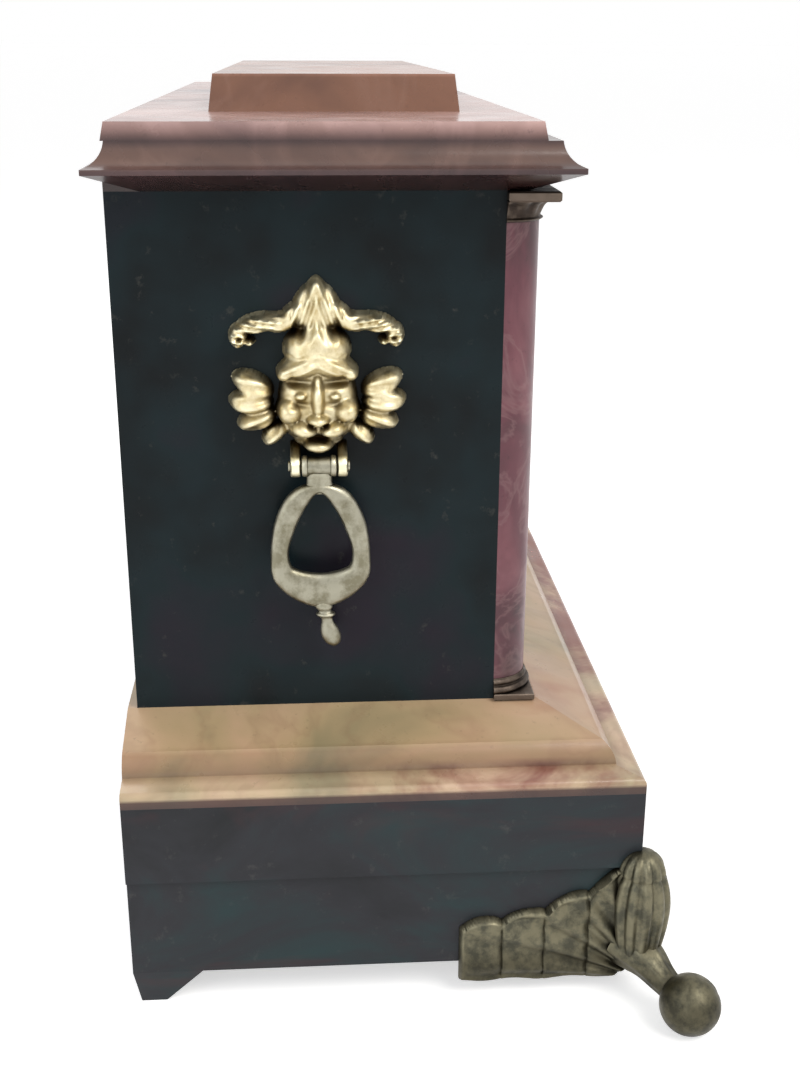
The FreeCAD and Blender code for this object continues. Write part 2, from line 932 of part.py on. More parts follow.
def rings():
    """A stirrup-shaped ring with a drop under it, hung by its eye."""
    outer = [
        ("-4", "0"),
        ("-4", "-5.6"),
        ("-10", "-7.6", "8"),
        ("-13.8", "-15", "10"),
        ("-15", "-28", "45"),
        ("0", "-44.8", "17"),
        ("1", "-48"),
        ("0.4", "-53"),
        ("3.4", "-57.8", "5"),
        ("6.4", "-53", "5"),
        ("5.8", "-48"),
        ("7", "-43"),
        ("15", "-28", "17"),
        ("13.8", "-15", "45"),
        ("10", "-7.6", "10"),
        ("4", "-5.6", "8"),
        ("4", "0"),
    ]
    inner = [
        ("-9.6", "-25", "-50"),
        ("-6", "-33", "8"),
        ("6", "-33", "20"),
        ("9.6", "-25", "8"),
        ("0", "-8.4", "-50"),
    ]
    at = ("-(pin_x - ring_thickness / 2)", "mask_y", "pin_z")
    plate = pad("ring_plate", outer, "ring_thickness", at, LEFT, [inner])
    eye = rod("ring_eye", "eye_radius", "eye_length", ("-pin_x", "mask_y - eye_length / 2", "pin_z"), "Y")
    bore = rod(
        "ring_bore",
        "pin_radius + running_play",
        "eye_length",
        ("-pin_x", "mask_y - eye_length / 2", "pin_z"),
        "Y",
    )
    left = cut("ring_left", fuse("ring_blank", plate, eye), bore)
    node("ring_handle_left", left)
    node("ring_handle_right", mirror("ring_twin", left))


# ---------------------------------------------------------------- dial, glass, hands and door


def hinge(name, at, fixed_leaf, moving_leaf):
    """A pinned hinge of three knuckles. The middle one, the pin and one leaf stay; the outer
    two turn. Returns the fixed solids, the moving solids and the bore through the latter."""
    x, y, middle = at
    third = "hinge_length / 3"
    low = f"{middle} - hinge_length / 2"
    spans = {
        "low": (low, f"{third} - hinge_gap"),
        "mid": (f"{middle} - {third} / 2", third),
        "high": (f"{middle} + {third} / 2 + hinge_gap", f"{third} - hinge_gap"),
    }
    made = {}
    for place, (foot, length) in spans.items():
        leaf = fixed_leaf if place == "mid" else moving_leaf
        made[place] = [
            rod(f"{name}_knuckle_{place}", "hinge_radius", length, (x, y, foot), "Z"),
            block(f"{name}_leaf_{place}", leaf[0], leaf[1], (foot, f"{foot} + {length}")),
        ]
    pin = rod(name + "_pin", "hinge_pin", "hinge_length", (x, y, low), "Z")
    bore = rod(name + "_bore", "hinge_pin + running_play", "hinge_length", (x, y, low), "Z")
    return made["mid"] + [pin], made["low"] + made["high"], bore


def dial():
    disc = rod("dial_disc", "dial_radius", "dial_thickness", front_place("0", "0"), "Y")
    x, z = place_of("great")
    holes = [rod("dial_centre", "dial_centre_hole", "dial_thickness", front_place("0", "0"), "Y")]
    for hand, sign in (("left", "-"), ("right", "")):
        at = front_place(f"{sign}{x}", f"{z}")
        holes.append(rod("dial_winding_" + hand, "winding_radius * 1.5", "dial_thickness", at, "Y"))
    node("dial_plate", cut("dial_holed", disc, *holes))


def front_place(x, z):
    return (x, "front_y - dial_thickness", f"dial_z + {z}")


def bezel():
    at = ("0", "front_y", "dial_z")
    seat = turned(
        "seat_ring",
        [
            ("dial_radius", "0"),
            ("bezel_radius", "0"),
            ("bezel_radius", "seat_thickness"),
            ("dial_radius - seat_lip", "seat_thickness"),
            ("dial_radius - seat_lip", "dial_thickness"),
            ("dial_radius", "dial_thickness"),
        ],
        at,
    )
    rim = turned(
        "bezel_rim",
        [
            ("glass_radius", "bezel_back"),
            ("bezel_radius", "bezel_back"),
            ("bezel_radius", "bezel_back + bezel_side"),
            ("bezel_lip + bezel_bead", "bezel_back + bezel_thickness", "bezel_crown"),
            ("bezel_lip", "bezel_back + bezel_thickness - bezel_bead / 2"),
            ("bezel_lip", "bezel_back + bezel_thickness - lip_thickness"),
            ("glass_radius", "bezel_back + bezel_thickness - lip_thickness"),
        ],
        at,
    )
    leaf_x = ("bezel_radius - seat_lip", "bezel_hinge_x")
    fixed, moving, bore = hinge(
        "bezel_hinge",
        ("bezel_hinge_x", "bezel_hinge_y", "dial_z"),
        (leaf_x, ("front_y - seat_thickness", "front_y - seat_thickness + 1.5")),
        (leaf_x, ("front_y - bezel_back - 1.5", "front_y - bezel_back")),
    )
    node("bezel_seat", fuse("seat_whole", seat, *fixed))
    tab = block(
        "bezel_tab",
        ("-(bezel_radius + tab_reach)", "-(bezel_radius - 1)"),
        ("front_y - bezel_back - tab_thickness", "front_y - bezel_back"),
        ("dial_z - tab_height / 2", "dial_z + tab_height / 2"),
    )
    node("bezel_ring", cut("bezel_bored", fuse("bezel_whole", rim, tab, *moving), bore))
    glass_front = "front_y - bezel_back - bezel_thickness + lip_thickness"
    glass_at = ("0", glass_front, "dial_z")
    node("bezel_glass", rod("glass_disc", "glass_radius", "glass_thickness", glass_at, "Y"))


def spade(label, length, width, out, hub, hole, degrees):
    """A spade hand at its place on the dial, degrees clockwise from twelve."""
    turn = FRONT.multiply(FreeCAD.Rotation(vector(0, 0, 1), -degrees))
    outline = [
        (f"-{width} / 4", "0"),
        (f"{width} / 4", "0"),
        (f"{width} / 4", f"{length} * 0.6"),
        (f"{width} / 2", f"{length} * 0.72"),
        ("0", length),
        (f"-{width} / 2", f"{length} * 0.72"),
        (f"-{width} / 4", f"{length} * 0.6"),
    ]
    at = ("0", f"front_y - {out}", "dial_z")
    blade = pad(label + "_blade", outline, "hand_thickness", at, turn)
    boss = rod(label + "_boss", hub, "hand_thickness", at, "Y", 360, FRONT)
    bore = rod(label + "_bore", hole, "hand_thickness", at, "Y", 360, FRONT)
    node(label, cut(label + "_bored", fuse(label + "_blank", blade, boss), bore))


def hands():
    minutes = value("minute_shown")
    hours = value("hour_shown") + minutes / 60
    spade(
        "hour_hand",
        "hour_hand_length",
        "hour_hand_width",
        "hour_hand_out",
        "hour_boss",
        "pipe_bore",
        hours * 30,
    )
    spade(
        "minute_hand",
        "minute_hand_length",
        "minute_hand_width",
        "minute_hand_out",
        "minute_boss",
        "hand_pin",
        minutes * 6,
    )


def back_door():
    plate = block(
        "door_plate",
        ("-door_width / 2", "door_width / 2"),
        ("back_y - door_thickness", "back_y"),
        ("door_z", "door_z + door_height"),
    )
    knob_at = ("-door_width / 2 + knob_inset", "back_y", "door_z + door_height / 2")
    knob = rod("door_knob", "knob_radius", "knob_length", knob_at, "Y")
    leaf_y = ("back_y", "back_y + leaf_thickness")
    fixed_leaf = (("door_hinge_x", "door_hinge_x + leaf_length"), leaf_y)
    moving_leaf = (("door_hinge_x - leaf_length", "door_hinge_x"), leaf_y)
    moving, bores, fixed = [], [], []
    for place, share in (("low", "0.2"), ("high", "0.8")):
        at = ("door_hinge_x", "door_hinge_y", f"door_z + door_height * {share}")
        stays, turns, bore = hinge("door_hinge_" + place, at, fixed_leaf, moving_leaf)
        fixed.append(fuse("door_hinge_half_" + place, *stays))
        moving += turns
        bores.append(bore)
    node("back_door", cut("door_bored", fuse("door_whole", plate, knob, *moving), *bores))
    node("back_door_hinges", group("door_hinge_set", *fixed))


# ---------------------------------------------------------------- movement

FLANK_STEPS = 3
# how far the motion work's teeth are set out from their standard depth
CANNON_SHIFT = 0.3
HOUR_SHIFT = 0.4
# teeth of the escape wheel between the pallets
PALLET_SPAN = 12.8
PRESSURE = math.radians(25)
ADDENDUM, DEDENDUM, SHIFT = 0.8, 1.05, 0.5


def mesh_distance(first, second, module):
    return module * (first + second) / 2


def step_from(place, distance, degrees):
    bearing = math.radians(degrees)
    return place[0] + distance * math.cos(bearing), place[1] + distance * math.sin(bearing)


def arbor_places():
    """Where each arbor stands, right of and above the dial's middle."""
    module = {name: value(name + "_module") for name in ("great", "centre", "third")}
    leaves = TEETH["leaves"]
    great = mesh_distance(TEETH["great"], leaves, module["great"])
    places = {"centre": (0, 0), "great": step_from((0, 0), great, BEARINGS["great"])}
    third = mesh_distance(TEETH["centre"], leaves, module["centre"])
    places["third"] = step_from((0, 0), third, BEARINGS["third"])
    escape = mesh_distance(TEETH["third"], leaves, module["third"])
    x, z = places["third"]
    places["escape"] = (0, z + math.sqrt(escape**2 - x**2))
    places["anchor"] = (0, places["escape"][1] + value("anchor_rise"))
    motion = mesh_distance(TEETH["cannon"], TEETH["minute"], module["centre"])
    places["minute_wheel"] = step_from((0, 0), motion, BEARINGS["minute_wheel"])
    places["strike_great"] = (-places["great"][0], places["great"][1])
    chain = (
        ("strike_second", "strike_great", "great", module["great"]),
        ("strike_third", "strike_second", "strike_second", module["centre"]),
        ("fly", "strike_third", "strike_third", module["third"]),
    )
    for name, before, wheel, size in chain:
        distance = mesh_distance(TEETH[wheel], leaves, size)
        places[name] = step_from(places[before], distance, BEARINGS[name])
    places["hammer"] = (-value("hammer_x"), value("hammer_rise"))
    return places


ARBORS = arbor_places()


def place_of(name):
    return ARBORS[name]


def bearing(start, end):
    """Degrees from one arbor to another."""
    (x, z), (far_x, far_z) = ARBORS[start], ARBORS[end]
    return math.degrees(math.atan2(far_z - z, far_x - x))


def polar(radius, degrees):
    angle = math.radians(degrees)
    return radius * math.cos(angle), radius * math.sin(angle)


def bar(radius, sides=12):
    """The section of a bar ground to flats, or of a hole that one runs in."""
    return [polar(radius, 360 * side / sides) for side in range(sides)]


def gear(teeth, module, shift, degrees):
    """The outline of an involute gear with one tooth's middle at the given bearing."""
    pitch = module * teeth / 2
    base_radius = pitch * math.cos(PRESSURE)
    tip = pitch + module * (ADDENDUM + shift)
    root = pitch - module * (DEDENDUM - shift)
    half = (math.pi / 2 + 2 * shift * math.tan(PRESSURE)) / teeth
    half += math.tan(PRESSURE) - PRESSURE - value("tooth_play") / (2 * pitch)
    foot = max(base_radius, root)
    flank = [(root, half)] if root < base_radius else []
    for step in range(FLANK_STEPS + 1):
        radius = foot + (tip - foot) * step / FLANK_STEPS
        roll = math.acos(base_radius / radius)
        flank.append((radius, half - math.tan(roll) + roll))
    points = []
    for tooth in range(teeth):
        middle = degrees + 360 * tooth / teeth
        points += [polar(radius, middle - math.degrees(width)) for radius, width in flank]
        points += [polar(radius, middle + math.degrees(width)) for radius, width in reversed(flank)]
    return points


def wheel_gear(teeth, module, towards, shift=SHIFT):
    return gear(teeth, module, -shift, towards)


def pinion_gear(leaves, module, towards, shift=SHIFT):
    """A pinion with a gap at the bearing of the wheel that it meshes with."""
    return gear(leaves, module, shift, towards + 180 / leaves)


def saw(teeth, tip, root):
    """Teeth with one steep and one sloping side."""
    points = []
    for tooth in range(teeth):
        points += [
            polar(root, 360 * (tooth + 0.02) / teeth),
            polar(tip, 360 * (tooth + 0.12) / teeth),
            polar(root, 360 * (tooth + 0.75) / teeth),
        ]
    return points


def crossings(rim, hub, arms=4, width=2.4):
    """The openings between a wheel's arms."""
    openings = []
    for arm in range(arms):
        opening = []
        for radius, steps in ((rim, range(5)), (hub, range(4, -1, -1))):
            margin = math.degrees(math.asin(width / 2 / radius))
            sweep = 360 / arms - 2 * margin
            opening += [polar(radius, 360 * arm / arms + margin + sweep * step / 4) for step in steps]
        openings.append(opening)
    return openings


def crossed(outline, start, end, radius):
    """A wheel with the metal between its arms cut away."""
    return prism(outline, start, end, crossings(radius - value("wheel_rim"), value("wheel_hub")))


def prism(outline, start, end, holes=()):
    """An outline in the plane of the dial, thickened from start to end behind the front plate."""
    wires = []
    for loop in (outline, *holes):
        wires.append(Part.makePolygon([vector(x, start, z) for x, z in [*loop, loop[0]]]))
    return Part.makeFace(wires, "Part::FaceMakerBullseye").extrude(vector(0, end - start, 0))


def movement_piece(label, at, *solids):
    """Solids joined into one piece that stands or turns on an arbor's place."""
    made = document.addObject("Part::Feature", label + "_solid")
    made.Shape = solids[0].multiFuse(list(solids[1:])).removeSplitter() if len(solids) > 1 else solids[0]
    x, z = at
    put(made, (f"{x}", "plate_y", f"dial_z + ({z})"))
    return node(label, made)


def rectangle(left, foot, right, head):
    return [(left, foot), (right, foot), (right, head), (left, head)]


def moved(outline, x, z):
    return [(across + x, up + z) for across, up in outline]


def ratchet_at(side):
    """Where a ratchet and its click start and end, just behind their great wheel."""
    start = slice_at(side + "_great_at", "great_thickness")[1] + value("click_gap")
    return start, start + value("wheel_thickness")


def slice_at(place, thickness):
    """Where a wheel starts and ends behind the front plate."""
    start = value(place)
    return start, start + value(thickness)


def arbor(radius):
    """A plain arbor between the plates with a thin pivot in each."""
    end, near = value("plate_gap"), value("end_shake")
    beyond = value("plate_thickness")
    return [
        prism(bar(radius), near, end - near),
        prism(bar(value("pivot_radius")), -beyond, end + beyond),
    ]


def pinion_at(name, driver, module, span):
    """An arbor's pinion, a little wider than the wheel that drives it."""
    start, end = span
    over = value("pinion_overlap")
    return prism(pinion_gear(TEETH["leaves"], module, bearing(name, driver)), start - over, end + over)


def great_wheels():
    """The two wheels that the mainsprings drive, each with a stud for its click."""
    module, bore = value("great_module"), value("winding_radius + 2 * pivot_play")
    for side, centre, towards in (
        ("time", "great", "centre"),
        ("strike", "strike_great", "strike_second"),
    ):
        start, end = slice_at(side + "_great_at", "great_thickness")
        outline = wheel_gear(TEETH["great"], module, bearing(centre, towards))
        stud_length = ratchet_at(side)[1] - end
        stud_at = vector(0, end, value("click_pivot"))
        movement_piece(
            f"{side}_great_wheel",
            ARBORS[centre],
            prism(outline, start, end, [bar(bore, 24)]),
            Part.makeCylinder(value("stud_radius"), stud_length, stud_at, vector(0, 1, 0)),
        )


def winding_arbors():
    """The arbors that carry the mainsprings, with a ratchet each and a squared front end."""
    radius, square = value("winding_radius"), value("winding_square") / math.sqrt(2)
    gap, beyond = value("plate_gap"), value("plate_thickness")
    front = -value("plate_thickness + post_length + front_wall + dial_thickness")
    teeth = saw(TEETH["ratchet"], value("ratchet_radius"), value("ratchet_radius - 2"))
    for side, centre in (("time", "great"), ("strike", "strike_great")):
        movement_piece(
            f"{side}_winding_arbor",
            ARBORS[centre],
            prism(bar(radius), -beyond - 1, gap - value("end_shake")),
            prism(bar(radius / 2), gap - 1, gap + beyond),
            prism(bar(square, 4), front, -beyond),
            prism(teeth, *ratchet_at(side)),
        )


def clicks():
    """A click on each great wheel, held just clear of the ratchet's tips."""
    pivot, across, half = value("click_pivot"), value("click_reach"), value("click_half_width")
    tip = math.sqrt(value("ratchet_radius + click_clearance") ** 2 - across**2) - pivot
    outline = [(-half, 2), (-half, -half), (across, tip), (across + 1.4, tip + 1.2), (half, 2.4)]
    bore = bar(value("stud_radius + pivot_play"), 8)
    for side, centre in (("time", "great"), ("strike", "strike_great")):
        x, z = ARBORS[centre]
        movement_piece(f"{side}_click", (x, z + pivot), prism(outline, *ratchet_at(side), [bore]))


def coil(first_radius, shrink, count):
    """Half turns of a coil, from the outside in: each one's middle, radius and side."""
    middle, radius, side = 0, first_radius, 1
    for _ in range(count):
        yield middle, radius, side
        middle -= side * shrink
        radius -= shrink
        side = -side


def half_circle(middle, radius, side):
    start, end = vector(middle + side * radius, 0, 0), vector(middle - side * radius, 0, 0)
    return Part.Arc(start, vector(middle, 0, side * radius), end)


def mainsprings():
    """Flat springs coiled round the winding arbors."""
    wide, strip, shrink = value("spring_radius"), value("spring_strip"), value("spring_shrink")
    count = int((wide - value("winding_radius") * 2) / shrink)
    sets = []
    for side, centre in (("time", "great"), ("strike", "strike_great")):
        start = ratchet_at(side)[1] + value("click_gap")
        turns = []
        for middle, radius, half in coil(wide, shrink, count):
            outer = half_circle(middle, radius, half)
            inner = half_circle(middle, radius - strip, half)
            ends = [Part.LineSegment(outer.EndPoint, inner.EndPoint)]
            ends.append(Part.LineSegment(inner.StartPoint, outer.StartPoint))
            edges = [edge.toShape() for edge in (outer, ends[0], inner, ends[1])]
            face = Part.Face(Part.Wire(Part.sortEdges(edges)[0]))
            turns.append(face.extrude(vector(0, value("spring_width"), 0)))
        made = document.addObject("Part::Feature", side + "_mainspring")
        made.Shape = turns[0].multiFuse(turns[1:]).removeSplitter()
        x, z = ARBORS[centre]
        sets.append(put(made, (f"{x}", f"plate_y + {start}", f"dial_z + ({z})")))
    node("mainsprings", group("mainspring_set", *sets))


def going_train():
    great, centre, third = (value(name + "_module") for name in ("great", "centre", "third"))
    thick = value("arbor_radius")
    front = value("plate_thickness + post_length + front_wall")
    gap = value("plate_gap")
    wheel = slice_at("centre_at", "wheel_thickness")
    cannon = -value("plate_thickness") - value("motion_gap")
    movement_piece(
        "centre_wheel",
        ARBORS["centre"],
        prism(bar(thick), -front - value("minute_hand_out"), gap - value("end_shake")),
        prism(bar(value("pivot_radius")), gap - 1, gap + value("plate_thickness")),
        prism(bar(value("hand_pin")), -front - value("minute_hand_out + 2 * hand_thickness"), -front),
        pinion_at("centre", "great", great, slice_at("time_great_at", "great_thickness")),
        crossed(
            wheel_gear(TEETH["centre"], centre, bearing("centre", "third")),
            *wheel,
            centre * TEETH["centre"] / 2,
        ),
        prism(
            pinion_gear(TEETH["cannon"], centre, bearing("centre", "minute_wheel"), CANNON_SHIFT),
            cannon - value("cannon_thickness"),
            cannon,
        ),
    )
    wheel = slice_at("third_at", "wheel_thickness")
    pinion = slice_at("centre_at", "wheel_thickness")
    movement_piece(
        "third_wheel",
        ARBORS["third"],
        *arbor(value("thin_arbor")),
        pinion_at("third", "centre", centre, pinion),
        crossed(
            wheel_gear(TEETH["third"], third, bearing("third", "escape")),
            *wheel,
            third * TEETH["third"] / 2,
        ),
    )
    escape = slice_at("escape_at", "wheel_thickness")
    tip = value("escape_radius")
    movement_piece(
        "escape_wheel",
        ARBORS["escape"],
        *arbor(value("thin_arbor")),
        pinion_at("escape", "third", third, wheel),
        crossed(saw(TEETH["escape"], tip, tip - 1.6), *escape, tip),
    )


def motion_work():
    """The wheels in front of the plate that turn the hour hand once for twelve turns."""
    centre = value("centre_module")
    distance = mesh_distance(TEETH["cannon"], TEETH["minute"], centre)
    fine = 2 * distance / (TEETH["minute_leaves"] + TEETH["hour"])
    front = -value("plate_thickness") - value("motion_gap")
    play = value("motion_play")
    wheel_back = front - play
    wheel_front = wheel_back - value("minute_wheel_thickness")
    pinion_end = wheel_front - value("minute_pinion_length")
    hour_front = pinion_end + play
    hour_back = hour_front + value("minute_wheel_thickness")
    to_centre = bearing("minute_wheel", "centre")
    bore = bar(value("stud_radius + pivot_play"), 12)
    movement_piece(
        "minute_wheel",
        ARBORS["minute_wheel"],
        prism(wheel_gear(TEETH["minute"], centre, to_centre, CANNON_SHIFT), wheel_front, wheel_back, [bore]),
        prism(
            pinion_gear(TEETH["minute_leaves"], fine, to_centre, HOUR_SHIFT),
            pinion_end,
            wheel_front,
            [bore],
        ),
    )
    pipe_end = -value("plate_thickness + post_length + front_wall + hour_hand_out")
    inside = bar(value("pipe_bore"))
    movement_piece(
        "hour_wheel",
        ARBORS["centre"],
        prism(
            wheel_gear(TEETH["hour"], fine, bearing("centre", "minute_wheel"), HOUR_SHIFT),
            hour_front,
            hour_back,
            [inside],
        ),
        prism(bar(value("pipe_bore + pipe_wall")), pipe_end, (hour_front + hour_back) / 2, [inside]),
    )


def strike_train():
    great, centre, third = (value(name + "_module") for name in ("great", "centre", "third"))
    second = slice_at("strike_second_at", "wheel_thickness")
    third_plane = slice_at("strike_third_at", "wheel_thickness")
    movement_piece(
        "strike_second_wheel",
        ARBORS["strike_second"],
        *arbor(value("thin_arbor")),
        pinion_at("strike_second", "strike_great", great, slice_at("strike_great_at", "great_thickness")),
        crossed(
            wheel_gear(TEETH["strike_second"], centre, bearing("strike_second", "strike_third")),
            *second,
            centre * TEETH["strike_second"] / 2,
        ),
    )
    movement_piece(
        "strike_third_wheel",
        ARBORS["strike_third"],
        *arbor(value("thin_arbor")),
        pinion_at("strike_third", "strike_second", centre, second),
        crossed(
            wheel_gear(TEETH["strike_third"], third, bearing("strike_third", "fly")),
            *third_plane,
            third * TEETH["strike_third"] / 2,
        ),
    )
    reach = value("fly_reach")
    movement_piece(
        "fly",
        ARBORS["fly"],
        *arbor(value("thin_arbor")),
        pinion_at("fly", "strike_third", third, third_plane),
        prism(rectangle(-reach, -0.4, reach, 0.4), third_plane[1] + 2, value("plate_gap") - 4),
    )


def anchor():
    """The anchor over the escape wheel, and the crutch that leads the pendulum's rod."""
    plane = slice_at("escape_at", "wheel_thickness")
    reach = value("escape_radius + pallet_clearance")
    x, z = polar(reach, 90 + 180 * PALLET_SPAN / TEETH["escape"])
    z -= value("anchor_rise")
    half = [(x, z), (x - 1.4, z + 2.4), (-3, 3)]
    notch = (x + 1.6, z + 2.6)
    arms = half + [(-across, up) for across, up in reversed(half)] + [(-notch[0], notch[1]), (0, -0.6), notch]
    back = value("plate_gap + plate_thickness")
    crutch = back + value("crutch_gap")
    foot, prong, bar_width = -value("crutch_length"), value("rod_radius + crutch_play"), value("crutch_width")
    outer = prong + bar_width
    solids = [
        prism(bar(value("thin_arbor")), value("end_shake"), crutch + bar_width),
        prism(bar(value("pivot_radius")), -value("plate_thickness"), 1),
        prism(arms, *plane),
        prism(rectangle(-bar_width / 2, foot, bar_width / 2, 1), crutch, crutch + bar_width),
        prism(rectangle(-outer, foot, outer, foot + bar_width), crutch, crutch + bar_width),
    ]
    for inner, edge in ((-outer, -prong), (prong, outer)):
        fork = rectangle(inner, foot, edge, foot + bar_width)
        solids.append(prism(fork, crutch, back + value("pendulum_gap") + 3))
    movement_piece("anchor_and_crutch", ARBORS["anchor"], *solids)


def hammer():
    """The strike hammer: its arbor runs through both plates and swings a head beside the gong."""
    arm, head = value("hammer_arm"), value("hammer_head")
    across, along = value("hammer_stem / 2"), value("hammer_stem_depth / 2")
    middle = value("plate_gap + plate_thickness + gong_gap")
    movement_piece(
        "hammer",
        ARBORS["hammer"],
        prism(bar(value("thin_arbor")), value("end_shake"), middle + along),
        prism(bar(value("pivot_radius")), -value("plate_thickness"), 1),
        prism(rectangle(-across, -arm, across, 0), middle - along, middle + along),
        prism(moved(bar(head), 0, -arm), middle - head, middle + head),
    )


def plates():
    width, foot, head = "plate_half_width", "plate_foot", "plate_head"
    thin = ["third", "escape", "strike_second", "strike_third", "fly"]
    small = "pivot_radius + pivot_play"
    wide = "thin_arbor + pivot_play"
    front_holes = {name: small for name in thin + ["anchor", "hammer"]}
    front_holes |= {"centre": "arbor_radius + pivot_play"}
    rear_holes = {name: small for name in thin + ["centre"]}
    rear_holes |= {"anchor": wide, "hammer": wide}
    for name in ("great", "strike_great"):
        front_holes[name] = "winding_radius + pivot_play"
        rear_holes[name] = "winding_radius / 2 + pivot_play"
    for label, start, holes in (
        ("front_plate", "plate_y - plate_thickness", front_holes),
        ("rear_plate", "rear_plate_y", rear_holes),
    ):
        plate = block(
            label + "_blank",
            (f"-{width}", width),
            (start, f"{start} + plate_thickness"),
            (f"dial_z - {foot}", f"dial_z + {head}"),
        )
        bores = [
            rod(f"{label}_{name}_hole", radius, "plate_thickness", movement_place(name, start), "Y")
            for name, radius in holes.items()
        ]
        drilled = cut(label + "_drilled", plate, *bores)
        if label == "front_plate":
            start = "plate_y - plate_thickness - motion_gap - stud_length"
            at = movement_place("minute_wheel", start)
            added = rod("minute_stud", "stud_radius", "motion_gap + stud_length", at, "Y")
        else:
            added = block(
                "suspension_cock",
                ("-cock_width / 2", "cock_width / 2"),
                ("rear_plate_y + plate_thickness", "pendulum_y + cock_reach"),
                (f"dial_z + {ARBORS['anchor'][1]} + cock_rise", f"dial_z + {head}"),
            )
        node(label, fuse(label + "_whole", drilled, added))


def movement_place(name, y):
    x, z = ARBORS[name]
    return (f"{x}", y, f"dial_z + ({z})")


def pillars():
    """The four pillars between the plates, and the posts that hold the front plate off the
    case, in line with them."""
    solids = []
    for side in ("-", ""):
        for place, height in (("lower", "-plate_lower_pillar"), ("upper", "plate_upper_pillar")):
            x, z = f"{side}{place}_pillar_x", f"dial_z + ({height})"
            name = f"{place}_{'left' if side else 'right'}"
            solids.append(rod("pillar_" + name, "pillar_radius", "plate_gap", (x, "plate_y", z), "Y"))
            at = (x, "plate_y - plate_thickness - post_length", z)
            solids.append(rod("post_" + name, "pillar_radius", "post_length", at, "Y"))
    node("pillars_and_posts", group("pillar_set", *solids))


def pendulum():
    swing_z = f"dial_z + ({ARBORS['anchor'][1]})"
    bob_z = f"{swing_z} - pendulum_length"
    y = "pendulum_y"
    strip = block(
        "suspension_spring",
        ("-3", "3"),
        (f"{y} - 0.2", f"{y} + 0.2"),
        (f"{swing_z} - 10", f"{swing_z} + cock_rise - hinge_gap"),
    )
    clasp = block(
        "suspension_clasp",
        ("-3.5", "3.5"),
        (f"{y} - 1.5", f"{y} + 1.5"),
        (f"{swing_z} - suspension_drop", f"{swing_z} - suspension_drop + clasp_height"),
    )
    stick = rod(
        "pendulum_stick",
        "rod_radius",
        "pendulum_length - suspension_drop + bob_radius + rod_end",
        ("0", y, f"{bob_z} - bob_radius - rod_end"),
        "Z",
    )
    node("pendulum_rod", fuse("pendulum_rod_whole", strip, clasp, stick))
    disc = rod("bob_disc", "bob_radius", "bob_thickness", ("0", f"{y} - bob_thickness / 2", bob_z), "Y")
    bore = rod("bob_bore", "rod_radius", "3 * bob_radius", ("0", y, f"{bob_z} - 1.5 * bob_radius"), "Z")
    nut_z = f"{bob_z} - bob_radius - hinge_gap - nut_thickness"
    nut = rod("nut_disc", "nut_radius", "nut_thickness", ("0", y, nut_z), "Z")
    thread = rod("nut_bore", "rod_radius + running_play", "nut_thickness", ("0", y, nut_z), "Z")
    weight = cut("bob_bored", disc, bore)
    node("pendulum_bob_and_nut", group("bob_set", weight, cut("nut_bored", nut, thread)))


def gong():
    """A flat coil of round wire whose inner end stands on a post from the back board."""
    count = int(value("gong_turns") * 2)
    edges = []
    for middle, radius, side in coil(value("gong_radius"), value("gong_shrink"), count):
        edges.append(half_circle(middle, radius, side).toShape())
    end = middle - side * radius
    wire = value("gong_wire")
    section = Part.Wire(Part.makeCircle(wire, vector(value("gong_radius"), 0, 0), vector(0, 0, 1)))
    wound = document.addObject("Part::Feature", "gong_coil")
    wound.Shape = Part.Wire(edges).makePipeShell([section], True, False)
    put(wound, ("-gong_x", "gong_y", "dial_z - gong_drop"))
    foot = block(
        "gong_post",
        (f"-gong_x + ({end}) - gong_wire - 0.3", f"-gong_x + ({end}) + 5"),
        ("gong_y - 2 * gong_wire", "back_y - back_wall"),
        ("dial_z - gong_drop - 7", "dial_z - gong_drop"),
    )
    node("gong", fuse("gong_whole", wound, foot))


# ---------------------------------------------------------------- build, check and write

for build in (
    base,
    deck,
    rear_feet,
    front_feet,
    body,
    cornice,
    columns,
    masks,
    rings,
    dial,
    bezel,
    hands,
    back_door,
    great_wheels,
    winding_arbors,
    clicks,
    mainsprings,
    going_train,
    motion_work,
    strike_train,
    anchor,
    hammer,
    plates,
    pillars,
    pendulum,
    gong,
):
    build()
document.recompute()

faults = [thing.Label for thing in document.Objects if {"Invalid", "Error"} & set(thing.State)]
faults += [thing.Label for thing in nodes if thing.Shape.isNull() or not thing.Shape.isValid()]
if faults:
    raise RuntimeError("these didn't build: " + ", ".join(faults))
os.makedirs("parts", exist_ok=True)
for thing in nodes:
    thing.Shape.exportStep(f"parts/{thing.Label}.step")
    print(f"{thing.Label:28s} {len(thing.Shape.Solids)} solid(s) {thing.Shape.Volume:12.1f} mm3")
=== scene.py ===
"""A black mantel clock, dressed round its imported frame: marbled and black veneers, a cast lion
mask and hanging ring on each side, cast front feet, columns, and a numbered dial under glass.

Places are in millimetres in the frame's own axes: +X the clock's right, +Y its back, +Z up."""

import math

import bmesh
import bpy
import numpy as np
from mathutils import Matrix, Vector


